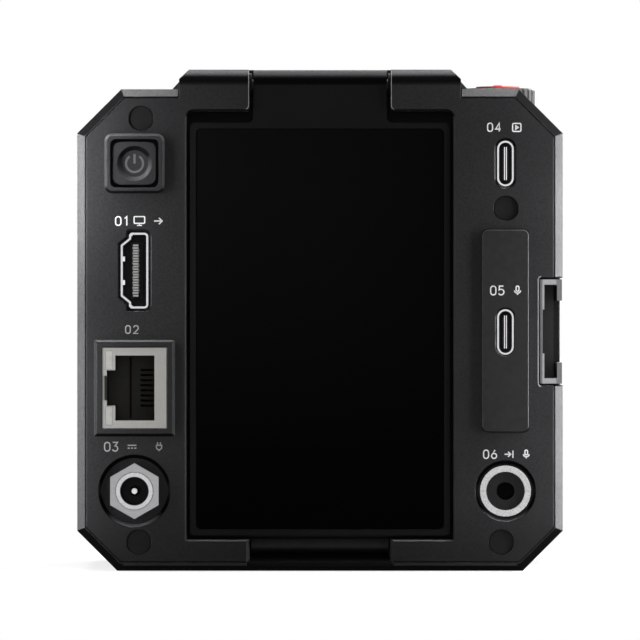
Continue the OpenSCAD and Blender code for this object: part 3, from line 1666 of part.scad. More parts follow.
main_housing();
rear_cover();
front_cover();
finger_scoop();
screen_frame();
screen_back_cover();
screen_glass();
lcd_panel();
hinge_pins();
hinge_washers();
power_button_bezel();
power_button();
power_switch();
hdmi_shell();
hdmi_tongue();
lan_shield();
lan_insert();
lan_contacts();
lan_light_pipes();
dc_jack_nut();
dc_jack_barrel();
dc_jack_pin();
aux_jack_ring();
aux_jack_body();
usb_c_shell(usb_upper_z, rear_y + usb_sunk);  // usb_c_upper_shell
usb_c_tongue(usb_upper_z, rear_y + usb_sunk);  // usb_c_upper_tongue
usb_c_shell(usb_lower_z, rear_y + usb_sunk);  // usb_c_lower_shell
usb_c_tongue(usb_lower_z, rear_y + usb_sunk);  // usb_c_lower_tongue
mic_dock_plate();
screw_plugs();
cover_screws();
cold_shoe();
cold_shoe_screws();
record_button();
control_dial();
dial_bush();
control_board();
lens_mount_ring();
mount_screws();
bayonet_spring();
lens_index_mark();
contact_block();
contact_pins();
throat_baffle();
lens_release_button();
lens_lock_pin();
release_lever();
sensor_glass();
image_sensor();
sensor_board();
heat_sink();
main_board();
io_board_left();
io_board_right();
fan_frame();
fan_rotor();
tripod_plate();
tripod_bush();
base_pad();
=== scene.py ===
# Looks of the box camera for live streaming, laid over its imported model.
# X runs to the right as seen from the rear, Y forward along the lens axis, Z up, all in metres.
import math

import bmesh
import bpy
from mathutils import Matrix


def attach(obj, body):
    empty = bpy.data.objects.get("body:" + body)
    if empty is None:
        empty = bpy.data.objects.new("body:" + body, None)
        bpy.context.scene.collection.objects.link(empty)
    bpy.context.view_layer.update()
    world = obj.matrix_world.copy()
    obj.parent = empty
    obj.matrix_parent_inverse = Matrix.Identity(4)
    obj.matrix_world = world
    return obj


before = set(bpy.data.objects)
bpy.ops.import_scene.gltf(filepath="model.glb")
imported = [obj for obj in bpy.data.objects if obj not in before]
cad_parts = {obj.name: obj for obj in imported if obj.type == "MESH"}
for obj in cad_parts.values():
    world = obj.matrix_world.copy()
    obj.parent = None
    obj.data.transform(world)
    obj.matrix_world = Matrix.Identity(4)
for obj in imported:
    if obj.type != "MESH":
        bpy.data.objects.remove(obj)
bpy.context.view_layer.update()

MM = 0.001

# Rear face, face of the microphone dock on it, and distance of both columns of ports from the middle
REAR_Y = -38 * MM
DOCK_Y = REAR_Y - 0.3 * MM
PORT_X = 37.1 * MM

# Prints and painted edge highlights: how far they stand out and sink in, and the stroke of numerals and
# signs
PRINT_T = 0.02 * MM
SINK = 0.05 * MM
STROKE = 0.24 * MM

# Least cosine at the corner of a band, which limits how far its mitre reaches
MITRE_LIMIT = 0.45

# Heights of the middles of the sockets, of the two spring tabs and of the power button
USB_UPPER_Z = 81.5 * MM
USB_LOWER_Z = 47.8 * MM
HDMI_Z = 60.1 * MM
HDMI_TABS_Z = (62.4 * MM, 57.7 * MM)
JACK_Z = 16 * MM
POWER_KEY_Z = 81.5 * MM

# Network socket: its back, and the sides, the ends and the depth of the ridge there
LAN_BACK_Y = REAR_Y + 14 * MM
LAN_RIDGE_X = (-38.36 * MM, -38.04 * MM)
LAN_RIDGE_Z = (30.4 * MM, 42.8 * MM)
LAN_RIDGE_DEPTH = 1.2 * MM

# Recess behind the accessory shoe: its lowest and highest point, where its shade comes in and goes out in X,
# and how far from its ends the shade of the shoe's arms stays deep and then ends
SHOE_RECESS_Z = (37.0 * MM, 58.8 * MM)
SHOE_SHADE_IN = (44.2 * MM, 44.4 * MM)
SHOE_SHADE_OUT = (48.3 * MM, 48.4 * MM)
SHOE_SHADE_DEEP = 2.2 * MM
SHOE_SHADE_END = 5.4 * MM

# Hinge ears: inner side, lower edge, height where the face turns into the round top, and its radius
EAR_INNER_X = 14.2 * MM
EAR_BOTTOM = 92.0 * MM
EAR_TURN_Z = 97.2 * MM
EAR_RADIUS = 3.2 * MM

# Painted highlight line along the base: its lower and upper limit, its loss of tone, and where it starts and
# ends in X
BASE_LINE = 1.05 * MM
BASE_TOP = 3 * MM
BASE_DIM = 0.38
SCOOP_HALF = 14.7 * MM
BASE_HALF = 39.2 * MM

# Half the width of the soft border between two tones
SOFT = 0.1 * MM

# Radius in millimetres of edges that are shaded as rounded, and samples of that shading
EDGE_RADIUS = 0.22
EDGE_SAMPLES = 6

# Where a surface counts as facing rearward, by its normal's Y, and where an edge counts as rounded, by the
# product of its rounded and its true normal: start and full
REARWARD = (-0.30, -0.50)
EDGE_BEND = (0.985, 0.90)

# Rear view: distance that keeps the photograph's slight perspective, and its scale of 5 px per mm
CAMERA_DISTANCE = 1.5
CAMERA_Z = 50.2 * MM
VIEW_WIDTH = 128 * MM
SENSOR_WIDTH = 36

# Light of the world on the object
WORLD_LIGHT = 0.08

# Floor: half its size and its height in metres, the radii between which the shadow on it fades, and its glow
# in the shadow
FLOOR_HALF = 4.0
FLOOR_Z = -0.2 * MM
SHADOW_NEAR = 0.07
SHADOW_FAR = 0.16
SHADOW_GLOW = 0.72

# Greys of the printed inks
GREYS = {"print_bright": 0.80, "print_dim": 0.36}


# Materials

def material(name, color, roughness=0.5, metallic=0.0, specular=0.5):
    """New node material; returns it with its tree and its shader."""
    mat = bpy.data.materials.new(name)
    mat.use_nodes = True
    tree = mat.node_tree
    shader = tree.nodes["Principled BSDF"]
    shader.inputs["Base Color"].default_value = (*color, 1)
    shader.inputs["Roughness"].default_value = roughness
    shader.inputs["Metallic"].default_value = metallic
    shader.inputs["Specular IOR Level"].default_value = specular
    return mat, tree, shader


def object_noise(tree, scale, detail=3.0, stretch=(1, 1, 1)):
    """Noise in the object's own coordinates, at a scale in cells per metre."""
    place = tree.nodes.new("ShaderNodeTexCoord")
    mapping = tree.nodes.new("ShaderNodeMapping")
    mapping.inputs["Scale"].default_value = stretch
    noise = tree.nodes.new("ShaderNodeTexNoise")
    noise.inputs["Scale"].default_value = scale
    noise.inputs["Detail"].default_value = detail
    tree.links.new(place.outputs["Object"], mapping.inputs["Vector"])
    tree.links.new(mapping.outputs["Vector"], noise.inputs["Vector"])
    return noise


def ramp(tree, source, low, high, start=0.3, end=0.7):
    """Colour that runs from low to high as the source runs from start to end."""
    node = tree.nodes.new("ShaderNodeValToRGB")
    node.color_ramp.elements[0].position = start
    node.color_ramp.elements[0].color = (*low, 1)
    node.color_ramp.elements[1].position = end
    node.color_ramp.elements[1].color = (*high, 1)
    tree.links.new(source, node.inputs["Fac"])
    return node.outputs["Color"]


def map_range(tree, source, start, end, low=0.0, high=1.0):
    """Value that runs from low to high as the source runs from start to end."""
    node = tree.nodes.new("ShaderNodeMapRange")
    for socket, value in (("From Min", start), ("From Max", end), ("To Min", low), ("To Max", high)):
        node.inputs[socket].default_value = value
    tree.links.new(source, node.inputs["Value"])
    return node.outputs["Result"]


def spread(tree, source, low, high):
    """Value that runs from low to high as the source runs from 0 to 1."""
    return map_range(tree, source, 0, 1, low, high)


def math_node(tree, operation, first, second):
    """Math node of two values, each a socket or a number."""
    node = tree.nodes.new("ShaderNodeMath")
    node.operation = operation
    for socket, value in zip(node.inputs, (first, second)):
        if isinstance(value, (int, float)):
            socket.default_value = value
        else:
            tree.links.new(value, socket)
    return node.outputs["Value"]


def product(tree, first, *others):
    """Product of values, each a socket or a number."""
    for other in others:
        first = math_node(tree, "MULTIPLY", first, other)
    return first


def fade(tree, factor, amount):
    """A factor where the amount is 1, and 1 where the amount is 0."""
    return math_node(tree, "ADD", 1, product(tree, amount, math_node(tree, "SUBTRACT", factor, 1)))


def vector_math(tree, operation, source, value=(0, 0, 0)):
    """Outputs of a vector math node of a socket and a fixed vector."""
    node = tree.nodes.new("ShaderNodeVectorMath")
    node.operation = operation
    node.inputs[1].default_value = value
    tree.links.new(source, node.inputs[0])
    return node.outputs


def object_place(tree):
    """Outputs X, Y and Z of a point in the object's own coordinates."""
    place = tree.nodes.new("ShaderNodeTexCoord")
    parts = tree.nodes.new("ShaderNodeSeparateXYZ")
    tree.links.new(place.outputs["Object"], parts.inputs[0])
    return parts.outputs


def step_ramp(tree, source, start, end, stops, peak=1.0):
    """Value through stops of (place, value), its places between start and end."""
    tones = tree.nodes.new("ShaderNodeValToRGB")
    tree.links.new(map_range(tree, source, start, end), tones.inputs["Fac"])
    while len(tones.color_ramp.elements) < len(stops):
        tones.color_ramp.elements.new(0.5)
    for element, (place, value) in zip(tones.color_ramp.elements, stops):
        element.position = (place - start) / (end - start)
        element.color = (value / peak, value / peak, value / peak, 1)
    return product(tree, tones.outputs["Color"], peak)


def bump(tree, shader, source, strength, depth):
    """Relief of a depth in metres on the shader's normal."""
    node = tree.nodes.new("ShaderNodeBump")
    node.inputs["Strength"].default_value = strength
    node.inputs["Distance"].default_value = depth
    tree.links.new(source, node.inputs["Height"])
    before = shader.inputs["Normal"].links
    if before:
        tree.links.new(before[0].from_socket, node.inputs["Normal"])
    tree.links.new(node.outputs["Normal"], shader.inputs["Normal"])


def shade(color, factor):
    """A colour lighter or darker by a factor, at most white."""
    return tuple(min(1.0, c * factor) for c in color)


def darken(tree, factor):
    """Multiplies a material's base colour, which a node already gives, by a factor or a colour."""
    shader = tree.nodes["Principled BSDF"]
    mix = tree.nodes.new("ShaderNodeMix")
    mix.data_type = "RGBA"
    mix.blend_type = "MULTIPLY"
    mix.inputs["Factor"].default_value = 1
    tree.links.new(shader.inputs["Base Color"].links[0].from_socket, mix.inputs[6])
    tree.links.new(factor, mix.inputs[7])
    tree.links.new(mix.outputs[2], shader.inputs["Base Color"])


def soften(mat, radius=EDGE_RADIUS):
    """Shades a material's edges as rounded over a radius in millimetres; returns that normal."""
    tree = mat.node_tree
    edge = tree.nodes.new("ShaderNodeBevel")
    edge.samples = EDGE_SAMPLES
    edge.inputs["Radius"].default_value = radius * MM
    for node in tree.nodes:
        if node.type == "BUMP" and not node.inputs["Normal"].links:
            tree.links.new(edge.outputs["Normal"], node.inputs["Normal"])
    return edge.outputs["Normal"]


def textured_paint(name, color, roughness=0.5, specular=0.3, grain=3200, depth=0.02):
    """Satin paint with a fine grain, slightly uneven in tone."""
    mat, tree, shader = material(name, color, roughness, 0.0, specular)
    cloud = object_noise(tree, 45, 2)
    grains = object_noise(tree, grain, 2)
    tree.links.new(ramp(tree, cloud.outputs["Fac"], shade(color, 0.88), shade(color, 1.12)),
                   shader.inputs["Base Color"])
    darken(tree, ramp(tree, grains.outputs["Fac"], (0.78, 0.78, 0.78), (1, 1, 1), 0.35, 0.6))
    tree.links.new(spread(tree, cloud.outputs["Fac"], roughness - 0.06, roughness + 0.06),
                   shader.inputs["Roughness"])
    bump(tree, shader, grains.outputs["Fac"], 0.5, depth * MM)
    return mat


def moulded_plastic(name, color, roughness=0.5, specular=0.35, depth=0.01):
    """Moulded plastic with a faint orange peel and a finer grain."""
    mat, tree, shader = material(name, color, roughness, 0.0, specular)
    peel = object_noise(tree, 700, 1)
    tree.links.new(ramp(tree, peel.outputs["Fac"], shade(color, 0.92), shade(color, 1.08)),
                   shader.inputs["Base Color"])
    tree.links.new(spread(tree, object_noise(tree, 90).outputs["Fac"], roughness - 0.05, roughness + 0.08),
                   shader.inputs["Roughness"])
    bump(tree, shader, peel.outputs["Fac"], 0.35, depth * MM)
    bump(tree, shader, object_noise(tree, 4200, 1).outputs["Fac"], 0.25, depth * MM / 2)
    return mat


def base_strip(tree):
    """Share of the painted highlight line along the base: 1 on it, 0 elsewhere."""
    x, _, z = object_place(tree)
    side = math_node(tree, "ABSOLUTE", x, 0)
    return product(tree, map_range(tree, z, BASE_LINE - SOFT, BASE_LINE + SOFT),
                   map_range(tree, z, BASE_TOP, BASE_TOP + 2 * SOFT, 1, 0),
                   map_range(tree, side, SCOOP_HALF - SOFT, SCOOP_HALF + SOFT),
                   map_range(tree, side, BASE_HALF, BASE_HALF + 4 * SOFT, 1, 0))


def slope_shading(mat, stops, rear_only=False, radius=EDGE_RADIUS):
    """Paints highlight and shade by how far a rounded surface faces up, in stops of its normal's Z and a
    factor.

    With rear_only, the painted tone holds on slopes that face rearward, and the painted highlight line along
    the base is left out of it and only painted dimmer.
    """
    tree = mat.node_tree
    turn = tree.nodes.new("ShaderNodeVectorTransform")
    turn.vector_type = "NORMAL"
    turn.convert_from = "WORLD"
    turn.convert_to = "OBJECT"
    tree.links.new(soften(mat, radius), turn.inputs["Vector"])
    parts = tree.nodes.new("ShaderNodeSeparateXYZ")
    tree.links.new(turn.outputs["Vector"], parts.inputs[0])
    factor = step_ramp(tree, parts.outputs["Z"], -1, 1, stops, max(1.0, *(value for _, value in stops)))
    if rear_only:
        rearward = map_range(tree, parts.outputs["Y"], *REARWARD)
        strip = base_strip(tree)
        toned = fade(tree, factor, product(tree, rearward, math_node(tree, "SUBTRACT", 1, strip)))
        factor = math_node(tree, "SUBTRACT", toned, product(tree, rearward, strip, BASE_DIM))
    darken(tree, factor)
    return mat


def painted_edge_highlights(mat, gain, radius=EDGE_RADIUS):
    """Paints highlights into a paint where its edges are shaded as rounded."""
    tree = mat.node_tree
    true = tree.nodes.new("ShaderNodeNewGeometry")
    bend = tree.nodes.new("ShaderNodeVectorMath")
    bend.operation = "DOT_PRODUCT"
    tree.links.new(soften(mat, radius), bend.inputs[0])
    tree.links.new(true.outputs["True Normal"], bend.inputs[1])
    darken(tree, map_range(tree, bend.outputs["Value"], *EDGE_BEND, 1, gain))
    return mat


def place_shading(tree, axis, start, end, stops):
    """Paints light and shade along an axis of an object, in stops of a place in millimetres and a factor."""
    place = object_place(tree)["XYZ".index(axis)]
    darken(tree, step_ramp(tree, place, start * MM, end * MM, [(stop * MM, tone) for stop, tone in stops]))


def low_shade(mat):
    """Paints shade into a paint towards the base."""
    place_shading(mat.node_tree, "Z", 0, 20, [(2, 0.70), (6, 0.78), (14, 1.0)])
    return mat


def shoe_recess_shade(mat):
    """Paints shade into the recess behind the accessory shoe, deepest near its two arms."""
    tree = mat.node_tree
    x, _, z = object_place(tree)
    low, high = SHOE_RECESS_Z
    tone = step_ramp(tree, z, low, high, [
        (low, 0.04), (low + SHOE_SHADE_DEEP, 0.06), (low + SHOE_SHADE_END, 0.42),
        (high - SHOE_SHADE_END, 0.42), (high - SHOE_SHADE_DEEP, 0.06), (high, 0.04)])
    inside = product(tree, map_range(tree, x, *SHOE_SHADE_IN), map_range(tree, x, *SHOE_SHADE_OUT, 1, 0),
                     map_range(tree, z, low - SOFT, low), map_range(tree, z, high + SOFT, high))
    darken(tree, fade(tree, tone, inside))
    return mat


def depth_shade(tree, start, end, deep):
    """Painted shade: a factor that falls from 1 at a depth along Y to a deep tone at another, in
    millimetres.
    """
    place = tree.nodes.new("ShaderNodeNewGeometry")
    parts = tree.nodes.new("ShaderNodeSeparateXYZ")
    tree.links.new(place.outputs["Position"], parts.inputs[0])
    return map_range(tree, parts.outputs["Y"], REAR_Y + start * MM, REAR_Y + end * MM, 1, deep)


def radius_shade(tree, inner, outer, deep):
    """Painted shade: a factor from a deep tone at one radius in millimetres about the power socket's axis to
    1 at another.
    """
    place = tree.nodes.new("ShaderNodeNewGeometry")
    shift = vector_math(tree, "SUBTRACT", place.outputs["Position"], (-PORT_X, 0, JACK_Z))
    flat = vector_math(tree, "MULTIPLY", shift["Vector"], (1, 0, 1))
    size = vector_math(tree, "LENGTH", flat["Vector"])
    return map_range(tree, size["Value"], inner * MM, outer * MM, deep, 1)


def brushed_metal(name, color, roughness=0.32, metallic=1.0, stretch=(1, 30, 1), scale=900):
    """Metal with fine lines drawn out along one axis."""
    mat, tree, shader = material(name, color, roughness, metallic)
    lines = object_noise(tree, scale, 3, stretch)
    tree.links.new(ramp(tree, lines.outputs["Fac"], shade(color, 0.86), shade(color, 1.06)),
                   shader.inputs["Base Color"])
    tree.links.new(spread(tree, lines.outputs["Fac"], roughness - 0.08, roughness + 0.1),
                   shader.inputs["Roughness"])
    bump(tree, shader, lines.outputs["Fac"], 0.2, 0.004 * MM)
    return mat


def screen_glass():
    """Near black cover glass with the faintest dust and a painted reflection, lightest at the upper left."""
    mat, tree, shader = material("screen_glass", (0.0016, 0.0016, 0.0018), 0.09, 0.0, 0.01)
    dust = object_noise(tree, 2600, 1)
    tree.links.new(ramp(tree, dust.outputs["Fac"], (0.0034, 0.0034, 0.0035), (0.0044, 0.0044, 0.0046), 0.5,
                        0.8), shader.inputs["Base Color"])
    # Painted reflection: fades to black towards the bottom and the right
    place_shading(tree, "Z", 5, 90, [(5, 0.0), (24, 0.06), (48, 0.5), (75, 1)])
    place_shading(tree, "X", -25, 25, [(-25, 1), (0, 0.9), (25, 0.3)])
    tree.links.new(spread(tree, object_noise(tree, 22).outputs["Fac"], 0.07, 0.16),
                   shader.inputs["Roughness"])
    return mat


def sensor_cover_glass():
    """Filter glass over the sensor: mostly clear, tinted green by its coating."""
    mat, tree, shader = material("sensor_glass", (0.55, 0.80, 0.74), 0.02)
    shader.inputs["Transmission Weight"].default_value = 0.9
    shader.inputs["IOR"].default_value = 1.5
    layer = tree.nodes.new("ShaderNodeLayerWeight")
    layer.inputs["Blend"].default_value = 0.4
    tree.links.new(ramp(tree, layer.outputs["Facing"], (0.52, 0.82, 0.74), (0.72, 0.50, 0.76), 0.1, 0.8),
                   shader.inputs["Base Color"])
    return mat


def sensor_package():
    """Dark ceramic package whose light face shimmers in faint colours."""
    mat, tree, shader = material("image_sensor", (0.03, 0.03, 0.04), 0.25)
    cells = tree.nodes.new("ShaderNodeTexVoronoi")
    cells.inputs["Scale"].default_value = 2500
    place = tree.nodes.new("ShaderNodeTexCoord")
    tree.links.new(place.outputs["Object"], cells.inputs["Vector"])
    hue = object_noise(tree, 60, 1)
    tree.links.new(ramp(tree, hue.outputs["Fac"], (0.035, 0.020, 0.055), (0.020, 0.050, 0.045)),
                   shader.inputs["Base Color"])
    bump(tree, shader, cells.outputs["Distance"], 0.2, 0.01 * MM)
    return mat


def circuit_board(name):
    """Green lacquer with traces and pads."""
    mat, tree, shader = material(name, (0.01, 0.06, 0.03), 0.35)
    brick = tree.nodes.new("ShaderNodeTexBrick")
    brick.inputs["Scale"].default_value = 420
    brick.inputs["Color1"].default_value = (0.008, 0.055, 0.028, 1)
    brick.inputs["Color2"].default_value = (0.012, 0.075, 0.036, 1)
    brick.inputs["Mortar"].default_value = (0.03, 0.14, 0.07, 1)
    place = tree.nodes.new("ShaderNodeTexCoord")
    turn = tree.nodes.new("ShaderNodeMapping")
    turn.inputs["Rotation"].default_value = (math.pi / 2, 0, 0)
    tree.links.new(place.outputs["Object"], turn.inputs["Vector"])
    tree.links.new(turn.outputs["Vector"], brick.inputs["Vector"])
    tree.links.new(brick.outputs["Color"], shader.inputs["Base Color"])
    bump(tree, shader, brick.outputs["Fac"], 0.3, 0.03 * MM)
    return mat


def threaded_brass():
    """Brass bush whose bore shows the ridges of its thread, with their light and shade painted in bands."""
    mat, tree, shader = material("tripod_bush", (0.60, 0.50, 0.30), 0.3, 1.0)
    ridges = tree.nodes.new("ShaderNodeTexWave")
    ridges.bands_direction = "Z"
    ridges.inputs["Scale"].default_value = 250
    ridges.inputs["Distortion"].default_value = 0
    place = tree.nodes.new("ShaderNodeTexCoord")
    tree.links.new(place.outputs["Object"], ridges.inputs["Vector"])
    tree.links.new(ramp(tree, ridges.outputs["Fac"], (0.30, 0.24, 0.13), (0.66, 0.55, 0.33), 0.1, 0.8),
                   shader.inputs["Base Color"])
    bump(tree, shader, ridges.outputs["Fac"], 0.8, 0.4 * MM)
    bump(tree, shader, object_noise(tree, 1500).outputs["Fac"], 0.2, 0.01 * MM)
    return mat


def printed_ink(name, value):
    """Screen printed ink, a little worn at its edges."""
    color = (value, value, value)
    mat, tree, shader = material(name, color, 0.6, 0.0, 0.2)
    grains = object_noise(tree, 5200, 2)
    tree.links.new(ramp(tree, grains.outputs["Fac"], shade(color, 0.82), color, 0.3, 0.5),
                   shader.inputs["Base Color"])
    bump(tree, shader, grains.outputs["Fac"], 0.2, 0.004 * MM)
    return mat


def socket_metal(name, color, roughness, start, end, deep):
    """Plated shell of a socket with painted shade inside its mouth, between two depths in millimetres."""
    mat = brushed_metal(name, color, roughness)
    darken(mat.node_tree, depth_shade(mat.node_tree, start, end, deep))
    return mat


def shoe_metal():
    """Plated sheet of the accessory shoe with painted light and shade: darker in its back plate and lips,
    darkest inside.
    """
    mat = brushed_metal("shoe_plate", (0.33, 0.33, 0.34), 0.36)
    tree = mat.node_tree
    place_shading(tree, "X", 43, 49, [(43.0, 0.40), (44.45, 0.42), (44.55, 1.0), (47.1, 1.0), (47.4, 0.52),
                                   (49, 0.5)])
    darken(tree, depth_shade(tree, 0.5, 2.2, 0.10))
    soften(mat, 0.25)
    return mat


def scoop_plastic():
    """Satin plastic of the finger scoop: a painted highlight in its upper part, painted shade, almost black,
    where it turns up.
    """
    mat = moulded_plastic("scoop_plastic", (0.080, 0.080, 0.082), 0.5, 0.02)
    place_shading(mat.node_tree, "Z", 1.5, 7.5, [(1.5, 0.02), (3.6, 0.04), (4.2, 0.25), (4.8, 1.0), (5.4, 0.75),
                                              (6.6, 0.30)])
    return mat


def barrel_metal():
    """Plated barrel of the power socket whose bore is painted black as shade."""
    mat = brushed_metal("barrel_plate", (0.44, 0.44, 0.45), 0.26, 1.0, (1, 20, 1))
    darken(mat.node_tree, radius_shade(mat.node_tree, 2.80, 2.95, 0.015))
    soften(mat, 0.15)
    return mat


def rounded_metal(*look):
    """Brushed metal whose edges are shaded as rounded."""
    mat = brushed_metal(*look)
    soften(mat, 0.15)
    return mat


def nut_metal():
    """Plated nut with painted shade in the groove round the barrel."""
    mat = rounded_metal("nut_plate", (0.30, 0.30, 0.305), 0.34, 1.0, (1, 1, 14), 700)
    darken(mat.node_tree, radius_shade(mat.node_tree, 3.62, 3.80, 0.18))
    return mat


def pin_metal():
    """Bright pin with painted shade in a rim round its tip."""
    mat = brushed_metal("pin_plate", (0.62, 0.62, 0.63), 0.12, 1.0, (1, 20, 1))
    darken(mat.node_tree, radius_shade(mat.node_tree, 0.95, 0.45, 0.30))
    soften(mat, 0.3)
    return mat


# Painted highlight and shade at stops of the normal's Z: upper slopes get a painted highlight, those just
# under them and those facing down get painted shade
FRAME_SLOPES = [(-1, 1), (0.03, 0.9), (0.12, 0.06), (0.46, 0.04), (0.58, 1.2), (0.70, 5), (0.86, 7),
                (0.96, 1.5), (1, 1)]
CASTING_SLOPES = [(-1, 1), (0.03, 0.9), (0.10, 0.6), (0.20, 0.08), (0.50, 0.06), (0.59, 0.5), (0.69, 2.0),
                  (0.86, 2.6), (0.96, 1.2), (1, 1)]
RAISED_SLOPES = [(-0.96, 1), (-0.88, 0.10), (-0.25, 0.10), (-0.03, 1), (0.03, 1), (0.30, 2.2), (1, 2.2)]
LOWER_SLOPES = [(-0.96, 1), (-0.88, 0.02), (-0.64, 0.02), (-0.57, 0.006), (-0.22, 0.006), (-0.03, 1)]
COVER_SLOPES = [(-0.96, 1), (-0.88, 0.06), (-0.22, 0.06), (-0.03, 1), (0.03, 0.9), (0.12, 0.3), (0.22, 0.08),
                (0.50, 0.06), (0.58, 0.8), (0.69, 3.4), (0.86, 4.6), (0.96, 1.6), (1, 1)]


# Finish of each CAD node, by its name

def body_finishes():
    """Housing, covers, screen with its hinge, keys and dial."""
    cover = textured_paint("cover_paint", (0.0325, 0.0328, 0.034), 0.48, 0.03)
    casting = textured_paint("casting_paint", (0.066, 0.0665, 0.068), 0.42, 0.02, 2600, 0.012)
    frame_paint = textured_paint("screen_frame_paint", (0.012, 0.012, 0.013), 0.40, 0.02, 3600, 0.008)
    bezel_paint = textured_paint("bezel_paint", (0.036, 0.036, 0.038), 0.42, 0.03, 3600, 0.008)
    button_paint = textured_paint("button_paint", (0.036, 0.036, 0.038), 0.40, 0.03, 4200, 0.006)
    # The dock's edges get a painted highlight
    dock_plastic = painted_edge_highlights(moulded_plastic("dock_plastic", (0.029, 0.029, 0.030), 0.50, 0.03), 6.0, 0.36)
    plug_rubber = moulded_plastic("plug_rubber", (0.016, 0.016, 0.0165), 0.62, 0.03)
    dark_steel = brushed_metal("dark_steel", (0.012, 0.012, 0.013), 0.5, 0.3)
    red = moulded_plastic("red_plastic", (0.56, 0.022, 0.026), 0.38, 0.4)
    # Painted highlight and shade by slope, on edges, near the base and in the shoe's recess
    slope_shading(painted_edge_highlights(low_shade(cover), 2.8), COVER_SLOPES)
    slope_shading(casting, CASTING_SLOPES)
    slope_shading(shoe_recess_shade(casting), LOWER_SLOPES, True)
    slope_shading(frame_paint, FRAME_SLOPES)
    return {
        "main_housing": casting,
        "rear_cover": cover,
        "front_cover": cover,
        "screen_frame": frame_paint,
        "screen_back_cover": moulded_plastic("screen_back", (0.018, 0.018, 0.019), 0.45),
        "screen_glass": screen_glass(),
        "lcd_panel": moulded_plastic("panel", (0.006, 0.006, 0.008), 0.2),
        "finger_scoop": scoop_plastic(),
        # Painted shade on downward slopes, and on the bezel, button and plugs a painted highlight on upward
        # ones
        "power_button_bezel": slope_shading(bezel_paint, RAISED_SLOPES),
        "power_button": slope_shading(button_paint, RAISED_SLOPES),
        "mic_dock_plate": slope_shading(dock_plastic, LOWER_SLOPES, False, 0.36),
        "screw_plugs": slope_shading(plug_rubber, RAISED_SLOPES),
        "base_pad": moulded_plastic("pad_rubber", (0.014, 0.014, 0.0145), 0.75, 0.2, 0.06),
        "record_button": red,
        "lens_index_mark": red,
        "control_dial": textured_paint("dial_paint", (0.018, 0.018, 0.019), 0.38, 0.4, 3600, 0.008),
        "lens_release_button": textured_paint("release_paint", (0.05, 0.05, 0.053), 0.36, 0.45, 3600, 0.006),
        "hinge_pins": dark_steel,
        "hinge_washers": moulded_plastic("washer_plastic", (0.006, 0.006, 0.0065), 0.5, 0.05),
    }


def socket_finishes():
    """Sockets, accessory shoe and the lens's contacts."""
    # Socket shells get painted shade inside their mouths
    usb_steel = socket_metal("socket_steel", (0.48, 0.48, 0.49), 0.25, 0.35, 1.2, 0.03)
    gilt = brushed_metal("gilt", (0.80, 0.58, 0.24), 0.22, 1.0, (1, 12, 1), 1500)
    socket_black = moulded_plastic("socket_plastic", (0.010, 0.010, 0.0105), 0.45)
    return {
        "hdmi_shell": socket_metal("hdmi_steel", (0.46, 0.46, 0.47), 0.25, 0.28, 0.7, 0.015),
        "usb_c_upper_shell": usb_steel,
        "usb_c_lower_shell": usb_steel,
        "lan_shield": brushed_metal("shield_plate", (0.34, 0.335, 0.32), 0.42, 0.55, (30, 1, 1), 500),
        "lan_insert": moulded_plastic("insert_plastic", (0.036, 0.035, 0.028), 0.5, 0.25),
        "lan_light_pipes": moulded_plastic("light_pipe", (0.37, 0.365, 0.35), 0.25, 0.3),
        "lan_contacts": brushed_metal("dark_gilt", (0.055, 0.043, 0.022), 0.35, 1.0, (1, 12, 1), 1500),
        "contact_pins": gilt,
        "hdmi_tongue": socket_black,
        "usb_c_upper_tongue": socket_black,
        "usb_c_lower_tongue": socket_black,
        "contact_block": socket_black,
        "aux_jack_body": moulded_plastic("aux_plastic", (0.016, 0.016, 0.0165), 0.4, 0.08),
        "aux_jack_ring": rounded_metal("aux_ring", (0.43, 0.43, 0.435), 0.26, 0.9, (1, 1, 1), 2200),
        "dc_jack_nut": nut_metal(),
        "dc_jack_barrel": barrel_metal(),
        "dc_jack_pin": pin_metal(),
        "cold_shoe": shoe_metal(),
    }


def inside_finishes():
    """Lens mount, sensor, boards, fan, screws and tripod thread."""
    inner = moulded_plastic("inner_plastic", (0.016, 0.016, 0.017))
    steel = brushed_metal("steel", (0.58, 0.58, 0.60))
    board = circuit_board("board_lacquer")
    brass = brushed_metal("brass", (0.62, 0.50, 0.28), 0.3, 1.0, (1, 1, 20))
    return {
        "lens_mount_ring": brushed_metal("ring_steel", (0.66, 0.66, 0.67), 0.26, 1.0, (1, 1, 1), 6500),
        "throat_baffle": inner,
        "fan_frame": inner,
        "fan_rotor": inner,
        "power_switch": inner,
        "sensor_glass": sensor_cover_glass(),
        "image_sensor": sensor_package(),
        "sensor_board": board,
        "main_board": board,
        "io_board_left": board,
        "io_board_right": board,
        "control_board": board,
        "heat_sink": brushed_metal("sink_metal", (0.50, 0.50, 0.51), 0.4),
        "tripod_plate": brushed_metal("plate_metal", (0.22, 0.22, 0.23), 0.42, 0.9, (1, 30, 1), 500),
        "tripod_bush": threaded_brass(),
        "dial_bush": brass,
        "cover_screws": brushed_metal("screw_black", (0.10, 0.10, 0.105), 0.36, 0.9, (1, 1, 1), 1500),
        "cold_shoe_screws": steel,
        "mount_screws": steel,
        "bayonet_spring": steel,
        "lens_lock_pin": steel,
        "release_lever": steel,
    }


def dress_nodes():
    """Gives each CAD node its finish."""
    for name, mat in {**body_finishes(), **socket_finishes(), **inside_finishes()}.items():
        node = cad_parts[name]
        node.data.materials.clear()
        node.data.materials.append(mat)


# Rounded edges: width of the rounding in millimetres for each node
ROUNDED = {
    "main_housing": 0.10, "front_cover": 0.12, "screen_frame": 0.12, "power_button": 0.12,
    "lan_shield": 0.08, "dc_jack_nut": 0.18, "aux_jack_ring": 0.18, "cold_shoe": 0.28,
    "control_dial": 0.06, "screw_plugs": 0.12, "finger_scoop": 0.05, "screen_glass": 0.05,
    "aux_jack_body": 0.12, "dc_jack_barrel": 0.12, "record_button": 0.10, "lens_release_button": 0.08,
}


